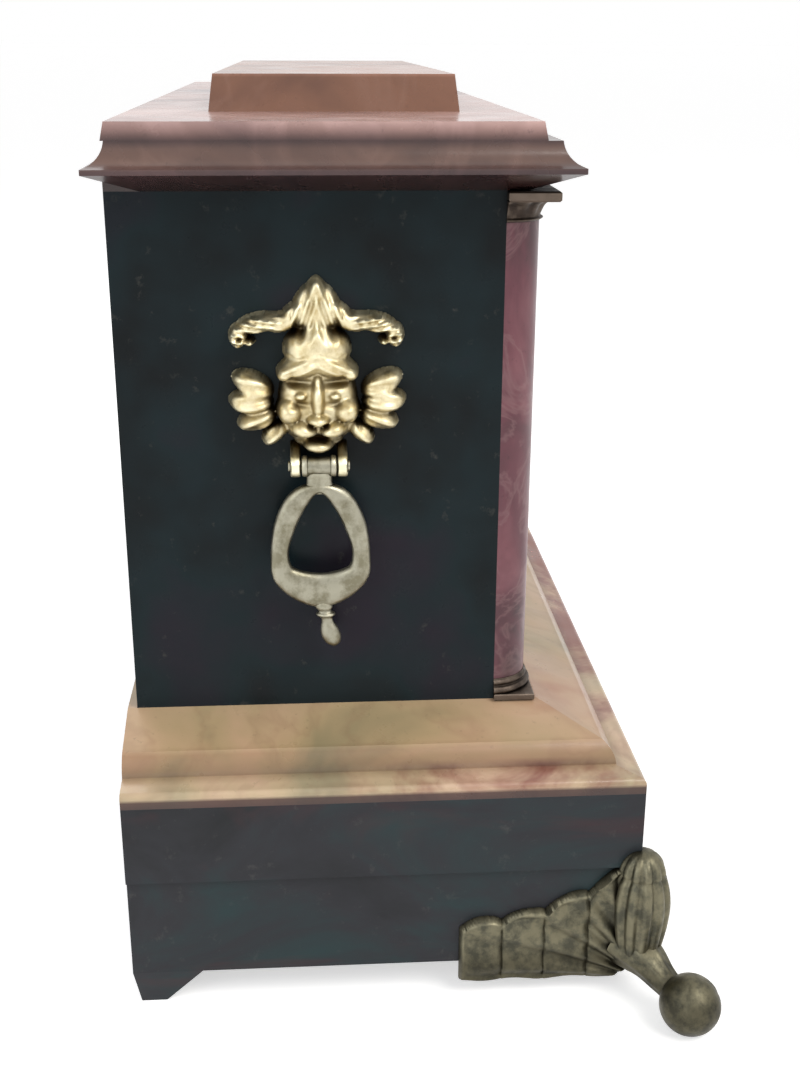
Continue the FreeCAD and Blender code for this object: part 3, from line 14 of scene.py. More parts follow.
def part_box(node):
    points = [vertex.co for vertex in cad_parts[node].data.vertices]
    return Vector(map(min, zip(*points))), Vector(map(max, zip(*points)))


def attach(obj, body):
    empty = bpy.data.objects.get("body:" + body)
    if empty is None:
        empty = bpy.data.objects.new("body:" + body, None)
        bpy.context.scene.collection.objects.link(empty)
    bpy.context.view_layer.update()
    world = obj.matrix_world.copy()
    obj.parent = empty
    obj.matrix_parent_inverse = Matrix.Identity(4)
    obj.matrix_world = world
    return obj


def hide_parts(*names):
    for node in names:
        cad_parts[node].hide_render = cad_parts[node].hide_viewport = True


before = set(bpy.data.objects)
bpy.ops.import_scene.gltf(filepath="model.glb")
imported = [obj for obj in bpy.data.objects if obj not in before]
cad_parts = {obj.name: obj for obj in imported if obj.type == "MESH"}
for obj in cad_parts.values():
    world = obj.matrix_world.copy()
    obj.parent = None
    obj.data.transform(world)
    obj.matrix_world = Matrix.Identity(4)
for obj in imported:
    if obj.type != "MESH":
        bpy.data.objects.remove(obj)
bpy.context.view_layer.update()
MM = 0.001


def low(node):
    return np.array(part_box(node)[0]) / MM


def high(node):
    return np.array(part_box(node)[1]) / MM


def centre(node):
    return (low(node) + high(node)) / 2


# ---------------------------------------------------------------- places read from the frame

SIDE_X = high("side_panel_right")[0]
FRONT_Y = low("side_panel_right")[1]
BACK_Y = high("side_panel_right")[1]
DECK_Z = low("side_panel_right")[2]
CORNICE_Z = high("side_panel_right")[2]
BASE_X = high("base_side_boards")[0]
BASE_FRONT_Y = low("base_front_board")[1]
MOULDING_Z = low("deck_moulding")[2]
CAP_Z = low("cap_block")[2]
COLUMN_SHAFTS = [f"column_{side}_{row}_shaft" for side in ("left", "right") for row in ("outer", "inner")]
DIAL_Z = centre("dial_plate")[2]
DIAL_FACE_Y = low("dial_plate")[1]
PIN_RADIUS = 1.5
PIN_X = high("ring_pins")[0] - PIN_RADIUS
PIN_Y, PIN_Z = centre("ring_pins")[1:]
MASK_OVER_PIN = 20
MASK_Z = PIN_Z + MASK_OVER_PIN
TOE_RADIUS = 9.5
TOE_X = high("front_foot_right")[0] - TOE_RADIUS
TOE_Y = low("front_foot_right")[1] + TOE_RADIUS

# ---------------------------------------------------------------- materials

# Blender's Mix node numbers its sockets: the factor, the two colours and the mixed colour.
MIX_FACTOR, MIX_FIRST, MIX_SECOND, MIX_RESULT = 0, 6, 7, 2
NOISE_SPAN = (0.3, 0.7)  # nearly all of a noise field lies between these
STAIN_FADE = 2
BOTTOM_DARKENING_FADE = (13 * MM, 20 * MM)  # the heights over which a casting's darkening towards the bottom thins out
HINGE_STEP = 0.2  # the hinge leaves and the knob stand out further than this from the case's back


def shade(colour, share):
    """The colour made darker or lighter, up to full white."""
    return tuple(min(1.0, share * channel) for channel in colour)


class Finish:
    """A procedural material built round a Principled shader."""

    def __init__(self, name, roughness=0.5, metallic=0.0, coat=0.0, coat_roughness=0.1, specular=0.5):
        self.material = bpy.data.materials.new(name)
        self.material.use_nodes = True
        self.tree = self.material.node_tree
        self.shader = self.tree.nodes["Principled BSDF"]
        self.shader.inputs["Roughness"].default_value = roughness
        self.shader.inputs["Metallic"].default_value = metallic
        self.shader.inputs["Coat Weight"].default_value = coat
        self.shader.inputs["Coat Roughness"].default_value = coat_roughness
        self.shader.inputs["Specular IOR Level"].default_value = specular
        self.where = self.tree.nodes.new("ShaderNodeTexCoord").outputs["Object"]

    def feed(self, socket, value):
        """Sets a socket to a number or a colour, or links another node's output to it."""
        if hasattr(value, "is_output"):
            self.tree.links.new(value, socket)
        elif socket.type == "RGBA":
            socket.default_value = (*value, 1)
        else:
            socket.default_value = value

    def add(self, kind, **inputs):
        """A node with its inputs fed by name, where an underscore stands for a space."""
        made = self.tree.nodes.new(kind)
        for name, value in inputs.items():
            self.feed(made.inputs[name.replace("_", " ")], value)
        return made

    def noise(self, per_metre, detail=4, roughness=0.55, warp=0.0, scale=(1, 1, 1)):
        """A noise field with so many clouds to the metre, pressed together along the axes by scale."""
        made = self.add(
            "ShaderNodeTexNoise",
            Vector=self.add("ShaderNodeMapping", Vector=self.where, Scale=scale).outputs[0],
            Scale=per_metre,
            Detail=detail,
            Roughness=roughness,
            Distortion=warp,
        )
        return made.outputs["Fac"]

    def ramp(self, factor, *stops):
        """Colours by a factor; each stop is a place from 0 to 1 and its colour."""
        made = self.add("ShaderNodeValToRGB", Fac=factor)
        band = made.color_ramp
        while len(band.elements) < len(stops):
            band.elements.new(0.5)
        for element, (place, colour) in zip(band.elements, stops):
            element.position = place
            element.color = (*colour, 1)
        return made.outputs["Color"]

    def steps(self, factor, start, end, first=0.0, last=1.0):
        """A factor spread from start and end to first and last, and held there beyond them."""
        made = self.add(
            "ShaderNodeMapRange", Value=factor, From_Min=start, From_Max=end, To_Min=first, To_Max=last
        )
        return made.outputs["Result"]

    def mix(self, factor, first, second, blend="MIX"):
        made = self.tree.nodes.new("ShaderNodeMix")
        made.data_type = "RGBA"
        made.blend_type = blend
        for index, value in ((MIX_FACTOR, factor), (MIX_FIRST, first), (MIX_SECOND, second)):
            self.feed(made.inputs[index], value)
        return made.outputs[MIX_RESULT]

    def math(self, operation, first, second=0.0):
        made = self.tree.nodes.new("ShaderNodeMath")
        made.operation = operation
        self.feed(made.inputs[0], first)
        self.feed(made.inputs[1], second)
        return made.outputs[0]

    def veins(self, per_metre, width, warp):
        """Thin wandering lines: the middle of a noise field, folded."""
        field = self.noise(per_metre, 4, 0.6, warp)
        folded = self.math("ABSOLUTE", self.math("SUBTRACT", field, 0.5))
        return self.steps(folded, 0.0, width, 1.0, 0.0)

    def axis(self, name):
        return self.add("ShaderNodeSeparateXYZ", Vector=self.where).outputs[name]

    def painted_light_by_height(self, foot, painted_light_bands):
        """Painted highlights and shade by height; each band is its millimetres over the foot and the tone
        that lightens or darkens the colour there.
        """
        first, last = painted_light_bands[0][0], painted_light_bands[-1][0]
        place = self.steps(self.axis("Z"), (foot + first) * MM, (foot + last) * MM)
        return self.ramp(place, *[((height - first) / (last - first), tone) for height, tone in painted_light_bands])

    def hollow(self, reach):
        """How deep in a recess a point lies, from 0 in the open to 1, felt for over reach millimetres."""
        made = self.add("ShaderNodeAmbientOcclusion", Distance=reach * MM)
        made.samples = 8
        return self.steps(made.outputs["AO"], 0.85, 0.25)

    def colour(self, value):
        self.feed(self.shader.inputs["Base Color"], value)

    def rough(self, field, least, most):
        """Roughness that wanders between two values with a noise field."""
        self.feed(self.shader.inputs["Roughness"], self.steps(field, *NOISE_SPAN, least, most))

    def bump(self, field, depth, strength):
        """Relief too fine for the mesh, in millimetres."""
        made = self.add("ShaderNodeBump", Height=field, Distance=depth * MM, Strength=strength)
        self.feed(self.shader.inputs["Normal"], made.outputs[0])


def black_veneer(name):
    """Polished black enamel with a faint cast of blue and purple, fine pores and rubbed places."""
    made = Finish(name, roughness=0.34, specular=0.12)
    black, blue, purple = (0.006, 0.008, 0.009), (0.009, 0.017, 0.02), (0.017, 0.014, 0.021)
    base = made.ramp(made.noise(22, 3), (0.35, black), (0.52, blue), (0.7, purple))
    worn = made.steps(made.noise(160, 5, 0.7), 0.62, 0.8)
    made.colour(made.mix(worn, base, (0.055, 0.055, 0.05)))
    made.rough(made.noise(90), 0.24, 0.44)
    made.bump(made.noise(900, 3), 0.08, 0.35)
    return made


def dark_marble(name):
    """Charcoal with slate, teal and dull red clouds."""
    made = Finish(name, roughness=0.35, specular=0.24)
    charcoal, slate, teal = (0.013, 0.014, 0.016), (0.024, 0.025, 0.03), (0.018, 0.038, 0.041)
    clouds = made.noise(16, 5, 0.6, 0.8, (0.5, 1, 1.6))
    base = made.ramp(clouds, (0.3, charcoal), (0.5, slate), (0.66, teal))
    red = made.steps(made.noise(11, 4, 0.6, 1.2, (0.5, 1, 2.4)), 0.56, 0.72, 0.0, 0.75)
    base = made.mix(red, base, (0.062, 0.024, 0.027))
    worn = made.steps(made.noise(180, 5, 0.7), 0.6, 0.8, 0, 0.5)
    made.colour(made.mix(worn, base, (0.09, 0.085, 0.08)))
    made.rough(made.noise(70), 0.28, 0.46)
    made.bump(made.noise(800, 3), 0.08, 0.35)
    return made


def marbled(
    name,
    clouds,
    vein,
    per_metre,
    grain=(1, 1, 1),
    vein_share=0.16,
    foot=0,
    painted_light_bands=(),
    stain=None,
    roughness=0.32,
    coat=0.25,
):
    """A marbled veneer: soft clouds of colour, a few faint veins, and bands of painted highlight and shade by
    height.

    Each band of painted light and shade is its height over the foot and the colour that multiplies the veneer
    there. A stain is its colour, the height over the foot that it reaches, and the Y where it starts and is
    full."""
    made = Finish(name, roughness=roughness, coat=coat, coat_roughness=0.16)
    places = np.linspace(0.34, 0.68, len(clouds))
    stops = [(float(place), cloud) for place, cloud in zip(places, clouds)]
    mottled = made.ramp(made.noise(per_metre, 4, 0.55, 0.7, grain), *stops)
    lines = made.math("MULTIPLY", made.veins(per_metre * 1.3, 0.05, 1.2), vein_share)
    mottled = made.mix(lines, mottled, vein)
    specks = made.steps(made.noise(420, 4, 0.7), 0.62, 0.76, 0, 0.4)
    mottled = made.mix(specks, mottled, shade(clouds[0], 0.45))
    if stain:
        colour, reach, start, full = stain
        forward = made.steps(made.axis("Y"), start * MM, full * MM)
        top = foot + reach
        below = made.steps(made.axis("Z"), (top + STAIN_FADE) * MM, top * MM)
        patchy = made.steps(made.noise(20, 5, 0.6, 0.8), 0.38, 0.56)
        share = made.math("MULTIPLY", made.math("MULTIPLY", forward, below), patchy)
        mottled = made.mix(share, mottled, colour)
    # painted highlights and painted shade, laid over the veneer as bands by height
    if painted_light_bands:
        mottled = made.mix(1.0, mottled, made.painted_light_by_height(foot, painted_light_bands), "MULTIPLY")
    made.colour(mottled)
    made.rough(made.noise(60), roughness * 0.8, roughness * 1.4)
    made.bump(made.noise(700, 3), 0.07, 0.3)
    return made


def cast_metal(name, bright, dull, dark, roughness, recess, bottom_darkening=0.0):
    """Cast metal with a painted highlight where it stands out, dull in places and dark in its hollows.

    Bottom darkening is how far the casting darkens near the floor, from 0 to 1."""
    made = Finish(name, roughness=roughness, metallic=1.0)
    patches = made.steps(made.noise(190, 5, 0.65), 0.42, 0.62)
    pointed = made.add("ShaderNodeNewGeometry").outputs["Pointiness"]
    # painted highlight: raised edges and points turned a lighter colour
    edge_highlight = made.steps(pointed, 0.52, 0.6, 0, 0.7)
    highlighted_patches = made.mix(edge_highlight, made.mix(patches, bright, dull), shade(bright, 1.7))
    # darker towards the bottom of the casting
    if bottom_darkening:
        upper_share = made.steps(made.axis("Z"), *BOTTOM_DARKENING_FADE, 1 - bottom_darkening, 1.0)
        highlighted_patches = made.mix(upper_share, dark, highlighted_patches)
    made.colour(made.mix(made.hollow(recess), highlighted_patches, dark))
    made.rough(made.noise(240), roughness * 0.75, roughness * 1.3)
    made.bump(made.noise(1500, 4, 0.7), 0.12, 0.5)
    return made


def turned_metal(name, bright, dull, roughness=0.3, per_metre=60):
    """Machined metal with faint brushing and tarnish."""
    made = Finish(name, roughness=roughness, metallic=1.0)
    made.colour(made.mix(made.steps(made.noise(per_metre, 5, 0.65), 0.4, 0.68), bright, dull))
    made.rough(made.noise(220, 3, 0.6, 0, (1, 1, 9)), roughness * 0.7, roughness * 1.5)
    made.bump(made.noise(1200, 2, 0.5, 0, (1, 1, 8)), 0.05, 0.4)
    return made


def plain_wood(name):
    """Stained pine with its grain along X."""
    made = Finish(name, roughness=0.62)
    pale, deep = (0.12, 0.07, 0.04), (0.05, 0.028, 0.016)
    rings = made.noise(34, 5, 0.6, 0.6, (0.12, 1.4, 1.4))
    base = made.ramp(rings, (0.35, deep), (0.6, pale), (0.7, shade(pale, 1.2)))
    fibres = made.noise(900, 2, 0.5, 0, (0.05, 1, 1))
    made.colour(made.mix(made.steps(fibres, 0.6, 0.75, 0, 0.6), base, deep))
    made.bump(fibres, 0.1, 0.4)
    return made


def door_wood(name):
    """Stained pine, with the hinge leaves and the knob on its back in tarnished brass."""
    made = plain_wood(name)
    brass = made.math("GREATER_THAN", made.axis("Y"), (BACK_Y + HINGE_STEP) * MM)
    wood = made.shader.inputs["Base Color"].links[0].from_socket
    made.colour(made.mix(brass, wood, (0.4, 0.29, 0.13)))
    made.feed(made.shader.inputs["Metallic"], brass)
    return made


def dial_paper(name):
    """An aged white dial, yellowed in patches and a little foxed."""
    made = Finish(name, roughness=0.5)
    base = made.ramp(made.noise(45, 5, 0.6), (0.35, (0.78, 0.73, 0.6)), (0.65, (0.88, 0.85, 0.76)))
    spots = made.steps(made.noise(500, 4, 0.7), 0.68, 0.78, 0, 0.35)
    made.colour(made.mix(spots, base, (0.45, 0.36, 0.22)))
    made.bump(made.noise(1200, 3), 0.04, 0.3)
    return made


def clear_glass(name):
    """Old glass, very slightly green and not quite even."""
    made = Finish(name, roughness=0.02)
    made.shader.inputs["Transmission Weight"].default_value = 1.0
    made.shader.inputs["IOR"].default_value = 1.45
    made.colour(made.mix(made.noise(30), (0.97, 0.985, 0.98), (0.93, 0.96, 0.95)))
    made.rough(made.noise(60), 0.01, 0.05)
    return made


def printers_ink(name):
    made = Finish(name, roughness=0.45)
    black = (0.012, 0.012, 0.016)
    made.colour(made.mix(made.noise(400), black, shade(black, 2.2)))
    return made


FINISHES = {
    "body": black_veneer("black veneer"),
    "base": dark_marble("dark marble veneer"),
    "column": marbled(
        "red marble veneer",
        clouds=((0.045, 0.011, 0.017), (0.11, 0.027, 0.04), (0.2, 0.07, 0.085)),
        vein=(0.26, 0.15, 0.15),
        per_metre=34,
        grain=(1.4, 1.4, 0.7),
        vein_share=0.3,
        coat=0.06,
    ),
    "deck": marbled(
        "tan marble veneer",
        clouds=((0.25, 0.22, 0.13), (0.42, 0.32, 0.19), (0.5, 0.35, 0.23), (0.38, 0.19, 0.12)),
        vein=(0.2, 0.09, 0.06),
        per_metre=11,
        grain=(1, 1, 2.2),
        foot=MOULDING_Z,
        # painted shade under the nose and in the cove, a painted highlight on the nose, painted light on the
        # upward slope
        painted_light_bands=(
            (0, (0.13, 0.07, 0.075)),
            (2.2, (0.2, 0.12, 0.12)),
            (3.2, (1.35, 1.35, 1.4)),
            (5.4, (1.5, 1.5, 1.6)),
            (6.4, (0.62, 0.55, 0.5)),
            (12, (0.85, 0.72, 0.62)),
            (13.5, (1.15, 1.08, 1.0)),
            (19, (1.1, 1.08, 1.02)),
        ),
        stain=((0.19, 0.068, 0.045), 7, 35, 5),
    ),
    "cornice": marbled(
        "brown marble veneer",
        clouds=((0.05, 0.03, 0.03), (0.13, 0.08, 0.068), (0.2, 0.127, 0.108)),
        vein=(0.3, 0.2, 0.18),
        per_metre=12,
        grain=(1, 1, 2),
        foot=CORNICE_Z,
        # painted shade on the underside, the cove and a line under the slab, a painted highlight on the
        # slab's top
        painted_light_bands=(
            (0, (0.2, 0.15, 0.15)),
            (3, (0.3, 0.22, 0.24)),
            (6.4, (0.5, 0.38, 0.44)),
            (8.5, (1.05, 0.9, 0.78)),
            (12, (0.9, 0.78, 0.7)),
            (13.8, (0.42, 0.33, 0.36)),
            (15.2, (1.0, 0.86, 0.9)),
            (17, (2.1, 2.0, 2.1)),
            (18.6, (3.1, 3.15, 3.35)),
        ),
        roughness=0.24,
    ),
    "cap": marbled(
        "orange marble veneer",
        clouds=((0.12, 0.05, 0.03), (0.22, 0.1, 0.057), (0.28, 0.13, 0.085)),
        vein=(0.34, 0.2, 0.15),
        per_metre=16,
        foot=CAP_Z,
        # a painted highlight along the top edge
        painted_light_bands=((0, (1, 1, 1)), (10, (1, 1, 1)), (10.8, (1.5, 1.6, 1.8))),
        roughness=0.24,
    ),
    "wood": plain_wood("stained wood"),
    "door": door_wood("stained door"),
    "bezel": turned_metal("lacquered brass", (0.66, 0.53, 0.28), (0.5, 0.38, 0.18), 0.26, 25),
    "hinge": turned_metal("tarnished brass", (0.42, 0.3, 0.13), (0.27, 0.19, 0.09), 0.4),
    "bronze": cast_metal(
        "antique bronze",
        bright=(0.18, 0.165, 0.11),
        dull=(0.08, 0.078, 0.058),
        dark=(0.016, 0.013, 0.008),
        roughness=0.48,
        recess=6,
        # the feet darker towards the bottom
        bottom_darkening=0.5,
    ),
    # painted shade: a darker copy of the antique bronze for the cornice's shadow over the capitals; the
    # column bases take it too
    "shaded_bronze": cast_metal(
        "shaded bronze",
        bright=(0.1, 0.078, 0.062),
        dull=(0.045, 0.034, 0.028),
        dark=(0.012, 0.009, 0.007),
        roughness=0.5,
        recess=5,
    ),
    "gilt": cast_metal(
        "pale gilt casting",
        bright=(0.75, 0.67, 0.45),
        dull=(0.54, 0.44, 0.24),
        dark=(0.08, 0.05, 0.016),
        roughness=0.44,
        recess=7,
    ),
    "silvered": cast_metal(
        "worn silvered brass",
        bright=(0.33, 0.315, 0.245),
        dull=(0.19, 0.175, 0.12),
        dark=(0.05, 0.04, 0.02),
        roughness=0.4,
        recess=5,
    ),
    "brass": turned_metal("movement brass", (0.78, 0.56, 0.24), (0.55, 0.37, 0.15)),
    "steel": turned_metal("grey steel", (0.42, 0.43, 0.45), (0.25, 0.25, 0.26)),
    "blued": turned_metal("blued steel", (0.03, 0.035, 0.07), (0.015, 0.015, 0.02), 0.35),
    "dial": dial_paper("dial paper"),
    "glass": clear_glass("dial glass"),
    "ink": printers_ink("dial ink"),
}

# The nodes by finish; a node that isn't named here is movement brass.
NODE_FINISH = {
    "body": ("side_panel_left", "side_panel_right", "front_board"),
    "base": ("base_front_board", "base_back_board", "base_side_boards", "base_band", "rear_feet"),
    "deck": ("deck_moulding", "deck_board"),
    "cornice": ("cornice_moulding", "cornice_slab", "top_board"),
    "cap": ("cap_block",),
    "column": COLUMN_SHAFTS,
    "wood": ("back_board",),
    "door": ("back_door",),
    "bezel": ("bezel_seat", "bezel_ring"),
    "hinge": ("back_door_hinges",),
    "bronze": ("front_foot_left", "front_foot_right"),
    # painted shade: the darker copy of the bronze
    "shaded_bronze": ("column_bases", "column_capitals"),
    "gilt": ("lion_mask_left", "lion_mask_right"),
    "silvered": ("ring_handle_left", "ring_handle_right", "ring_pins"),
    "steel": (
        "time_winding_arbor",
        "strike_winding_arbor",
        "time_click",
        "strike_click",
        "mainsprings",
        "anchor_and_crutch",
        "hammer",
        "pendulum_rod",
        "gong",
    ),
    "blued": ("hour_hand", "minute_hand"),
    "dial": ("dial_plate",),
    "glass": ("bezel_glass",),
}
SOFTENED = ("body", "base", "deck", "cornice", "cap", "wood")
EDGE_WIDTH = 0.8
THIN_EDGE_WIDTH = 0.5
EDGE_ANGLE = 35


def dress_nodes():
    """Every CAD node gets a procedural finish, and the boards softened edges."""
    chosen = {node: finish for finish, group in NODE_FINISH.items() for node in group}
    for name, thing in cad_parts.items():
        finish = chosen.get(name, "brass")
        thing.data.materials.clear()
        thing.data.materials.append(FINISHES[finish].material)
        if finish in SOFTENED:
            soften(thing, THIN_EDGE_WIDTH if name in ("back_board", "deck_board") else EDGE_WIDTH)


def soften(thing, width):
    bevel = thing.modifiers.new("softened edges", "BEVEL")
    bevel.width = width * MM
    bevel.segments = 3
    bevel.limit_method = "ANGLE"
    bevel.angle_limit = math.radians(EDGE_ANGLE)
    bevel.harden_normals = False


# ---------------------------------------------------------------- solids in mesh code


def loft(rows, closed=False):
    """A skin over rows of points, each row a loop; its ends are capped unless it closes on itself."""
    rows = np.asarray(rows, float)
    count, around = rows.shape[:2]
    faces = []
    for i in range(count if closed else count - 1):
        near, far = i * around, (i + 1) % count * around
        for j in range(around):
            k = (j + 1) % around
            faces.append((near + j, near + k, far + k, far + j))
    if not closed:
        faces.append(tuple(range(around)))
        faces.append(tuple((count - 1) * around + j for j in reversed(range(around))))
    return rows.reshape(-1, 3), faces


def joined(*solids):
    points, faces, start = [], [], 0
    for own_points, own_faces in solids:
        points.append(own_points)
        faces += [tuple(start + index for index in face) for face in own_faces]
        start += len(own_points)
    return np.vstack(points), faces


def mapped(solid, change):
    """The solid with its points passed through a function of x, y and z."""
    points, faces = solid
    return np.stack(change(points[:, 0], points[:, 1], points[:, 2]), axis=1), faces


def moved(solid, x, y, z):
    return mapped(solid, lambda a, b, c: (a + x, b + y, c + z))


def mirrored(solid):
    return mapped(solid, lambda x, y, z: (-x, y, z))


def circle(sides):
    """Angles spread evenly over a full turn."""
    return np.arange(sides) * math.tau / sides


def curve(points, per_span, closed=False):
    """A Catmull-Rom curve through the points, with per_span steps from each to the next."""
    points = np.asarray(points, float)
    if closed:
        padded = np.vstack((points[-1], points, points[:2]))
    else:
        padded = np.vstack((2 * points[0] - points[1], points, 2 * points[-1] - points[-2]))
    out = []
    for i in range(1, len(padded) - 2):
        a, b, c, d = padded[i - 1 : i + 3]
        square, cube = 2 * a - 5 * b + 4 * c - d, 3 * b - a - 3 * c + d
        for t in np.arange(per_span) / per_span:
            out.append(0.5 * (2 * b + (c - a) * t + square * t**2 + cube * t**3))
    if not closed:
        out.append(points[-1])
    return np.array(out)


def lathe(profile, sides, start=0.0, sweep=360.0, ripple=None):
    """A profile of (radius, height) pairs turned about Z; ripple(angle, height) scales the radius."""
    profile = np.asarray(profile, float)
    whole = sweep == 360
    turns = np.radians(start + np.linspace(0, sweep, sides, endpoint=not whole))[:, None]
    radius = np.broadcast_to(profile[None, :, 0], (sides, len(profile)))
    height = np.broadcast_to(profile[None, :, 1], radius.shape)
    if ripple:
        radius = radius * ripple(turns, height)
    rows = np.stack((radius * np.cos(turns), radius * np.sin(turns), height), axis=2)
    return loft(rows, closed=whole)


def chamfered_block(low_corner, high_corner, inset):
    """A block with chamfered top and bottom edges."""
    (x0, y0, z0), (x1, y1, z1) = low_corner, high_corner
    rows = []
    for by, z in ((inset, z0), (0, z0 + inset), (0, z1 - inset), (inset, z1)):
        left, right, front, back = x0 + by, x1 - by, y0 + by, y1 - by
        rows.append([(left, front, z), (right, front, z), (right, back, z), (left, back, z)])
    return loft(rows)


def without_pinches(cell):
    """Cells of a grid, filled up until no two of them meet at a single corner."""
    while True:
        one = cell[:-1, :-1] & cell[1:, 1:] & ~cell[1:, :-1] & ~cell[:-1, 1:]
        two = cell[1:, :-1] & cell[:-1, 1:] & ~cell[:-1, :-1] & ~cell[1:, 1:]
        if not (one.any() or two.any()):
            return cell
        cell[1:, :-1] |= one
        cell[:-1, :-1] |= two


def onto_contour(grid_a, grid_b, height, edge, step, floor):
    """Moves the edge points of a height field along its slope to where it falls to the floor."""
    reach = 0.75 * step  # less than a cell, so that no cell turns over
    slope_a, slope_b = np.gradient(height, step)
    steep = np.maximum(slope_a**2 + slope_b**2, 1e-4)
    pull = (height - floor) / steep
    length = np.maximum(np.abs(pull) * np.sqrt(steep), 1e-9)
    pull *= np.minimum(1, reach / length)
    moved_a = np.where(edge, grid_a - pull * slope_a, grid_a)
    moved_b = np.where(edge, grid_b - pull * slope_b, grid_b)
    return moved_a, moved_b, np.where(edge, floor, height)


def relief(field, across, up, step, floor):
    """A closed solid standing on height 0 wherever field(across, up) is above floor.

    Its edge is pulled onto the field's contour, so that the outline runs smooth."""
    a = np.arange(across[0], across[1] + step, step)
    b = np.arange(up[0], up[1] + step, step)
    grid_a, grid_b = np.meshgrid(a, b, indexing="ij")
    height = field(grid_a, grid_b)
    above = height > floor
    cell = without_pinches(above[:-1, :-1] & above[1:, :-1] & above[:-1, 1:] & above[1:, 1:])
    cells_round = np.zeros(above.shape, int)
    for i, j in ((0, 0), (1, 0), (0, 1), (1, 1)):
        cells_round[i : i + cell.shape[0], j : j + cell.shape[1]] += cell
    used = cells_round > 0
    edge = used & (cells_round < 4)
    grid_a, grid_b, height = onto_contour(grid_a, grid_b, height, edge, step, floor)
    count = int(used.sum())
    index = np.full(above.shape, -1)
    index[used] = np.arange(count)
    top = np.stack((grid_a[used], grid_b[used], height[used]), axis=1)
    faces = []
    for i, j in zip(*np.nonzero(cell)):
        loop = [int(v) for v in (index[i, j], index[i + 1, j], index[i + 1, j + 1], index[i, j + 1])]
        faces.append(tuple(loop))
        faces.append(tuple(count + v for v in reversed(loop)))
        beyond = ((i, j - 1), (i + 1, j), (i, j + 1), (i - 1, j))
        for k, (m, n) in enumerate(beyond):
            inside = 0 <= m < cell.shape[0] and 0 <= n < cell.shape[1] and cell[m, n]
            if not inside:
                p, q = loop[k], loop[(k + 1) % 4]
                faces.append((q, p, count + p, count + q))
    return np.vstack((top, top * (1, 1, 0))), faces


def piece(name, solid, finish, body, replaced=(), sharp=40.0):
    """Makes a piece from a solid in millimetres, parents it to its body and hides the nodes that it stands
    for.
    """
    points, faces = solid
    mesh = bpy.data.meshes.new(name)
    mesh.from_pydata([tuple(point) for point in points * MM], [], faces)
    shape = bmesh.new()
    shape.from_mesh(mesh)
    bmesh.ops.remove_doubles(shape, verts=shape.verts, dist=2e-6)
    bmesh.ops.recalc_face_normals(shape, faces=shape.faces)
    shape.to_mesh(mesh)
    shape.free()
    mesh.materials.append(FINISHES[finish].material)
    mesh.shade_smooth()
    mesh.set_sharp_from_angle(angle=math.radians(sharp))
    made = bpy.data.objects.new(name, mesh)
    bpy.context.scene.collection.objects.link(made)
    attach(made, body)
    if replaced:
        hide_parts(*replaced)


# ---------------------------------------------------------------- lion masks

MASK_ACROSS, MASK_UP = (-27, 27), (-19, 35.5)
MASK_DEPTH = 13
MASK_EDGE = 0.8  # where the relief gets as low as this, the casting ends
MASK_STEP, QUICK_MASK_STEP = 0.4, 0.7
FACE_HALF = (14.5, 16.5)
EYE_ROOM, EYE_REACH = 3.6, 6  # the hollow behind the ring's eye: its radius and half its length
EAR_RADIUS, EAR_OUT = 3.2, 6.9
EAR_SECTION = ((0.93, -1.5), (1, -1.1), (1, 1.1), (0.93, 1.5))  # share of its outline, along the pin
MASK_LOBES = (
    # middle, half sizes, height, tilt; those off the middle line stand on both sides of it
    ((0, -2), (12.2, 15.4), 8.6, 0),
    ((0, 23.5), (7.6, 9.8), 7.2, 0),
    ((0, 30.8), (2.9, 3.9), 7.8, 0),
    ((6.4, 24.6), (4.4, 2.7), 6.8, -34),
    ((10.8, 21.6), (5.8, 3.1), 7.2, -4),
    ((17.0, 21.4), (6.6, 3.0), 7.6, -12),
    ((22.6, 17.8), (2.9, 3.7), 7.8, 0),
    ((19.4, 16.2), (1.8, 1.6), 6.2, 0),
    ((0, 14.0), (10.2, 7.6), 10.6, 0),
    ((4.4, 9.4), (6.6, 3.4), 11.4, -8),
    ((9.4, 7.4), (3.0, 2.6), 9.8, -34),
    ((4.9, 1.0), (2.3, 1.5), 9.4, 0),
    ((0, 0.5), (2.3, 8.2), 11.8, 0),
    ((0, -6.0), (4.1, 2.4), 12.8, 0),
    ((8.4, -3.8), (4.3, 4.2), 10.6, 20),
    ((4.3, -9.0), (4.6, 3.0), 11.8, 12),
    ((0, -14.2), (4.8, 2.4), 10.2, 0),
    ((18.6, 3.4), (7.0, 3.9), 7.6, 26),
    ((19.4, -1.6), (6.9, 3.7), 8.2, 4),
    ((17.6, -6.6), (6.6, 3.5), 7.6, -18),
    ((12.6, -11.0), (5.0, 2.9), 6.8, -40),
)
MASK_DENTS = (
    # middle, half sizes, depth
    ((5.2, 4.6), (4.0, 1.3), 2.6),
    ((5.2, -1.6), (3.2, 1.0), 1.5),
    ((1.9, -7.3), (0.9, 0.8), 1.6),
    ((0, -11.6), (4.6, 0.8), 3.0),
    ((6.4, -12.6), (2.6, 1.3), 2.6),
    ((4.9, 19.4), (1.7, 1.7), 3.6),
    ((12.6, 3.2), (1.1, 6.0), 2.4),
    ((12.0, -5.6), (0.9, 4.0), 1.6),
    ((22.2, 17.6), (1.0, 1.0), 1.6),
)


def lobe(u, v, at, size, height, tilt):
    """A soft mound: its height at the middle, 0 on its ellipse and below 0 outside it."""
    turn = math.radians(tilt)
    du, dv = u - at[0], v - at[1]
    along = (du * math.cos(turn) + dv * math.sin(turn)) / size[0]
    over = (dv * math.cos(turn) - du * math.sin(turn)) / size[1]
    inside = 1 - along**2 - over**2
    softness = 0.35
    return height * (1 + softness) * inside / (softness + np.abs(inside))


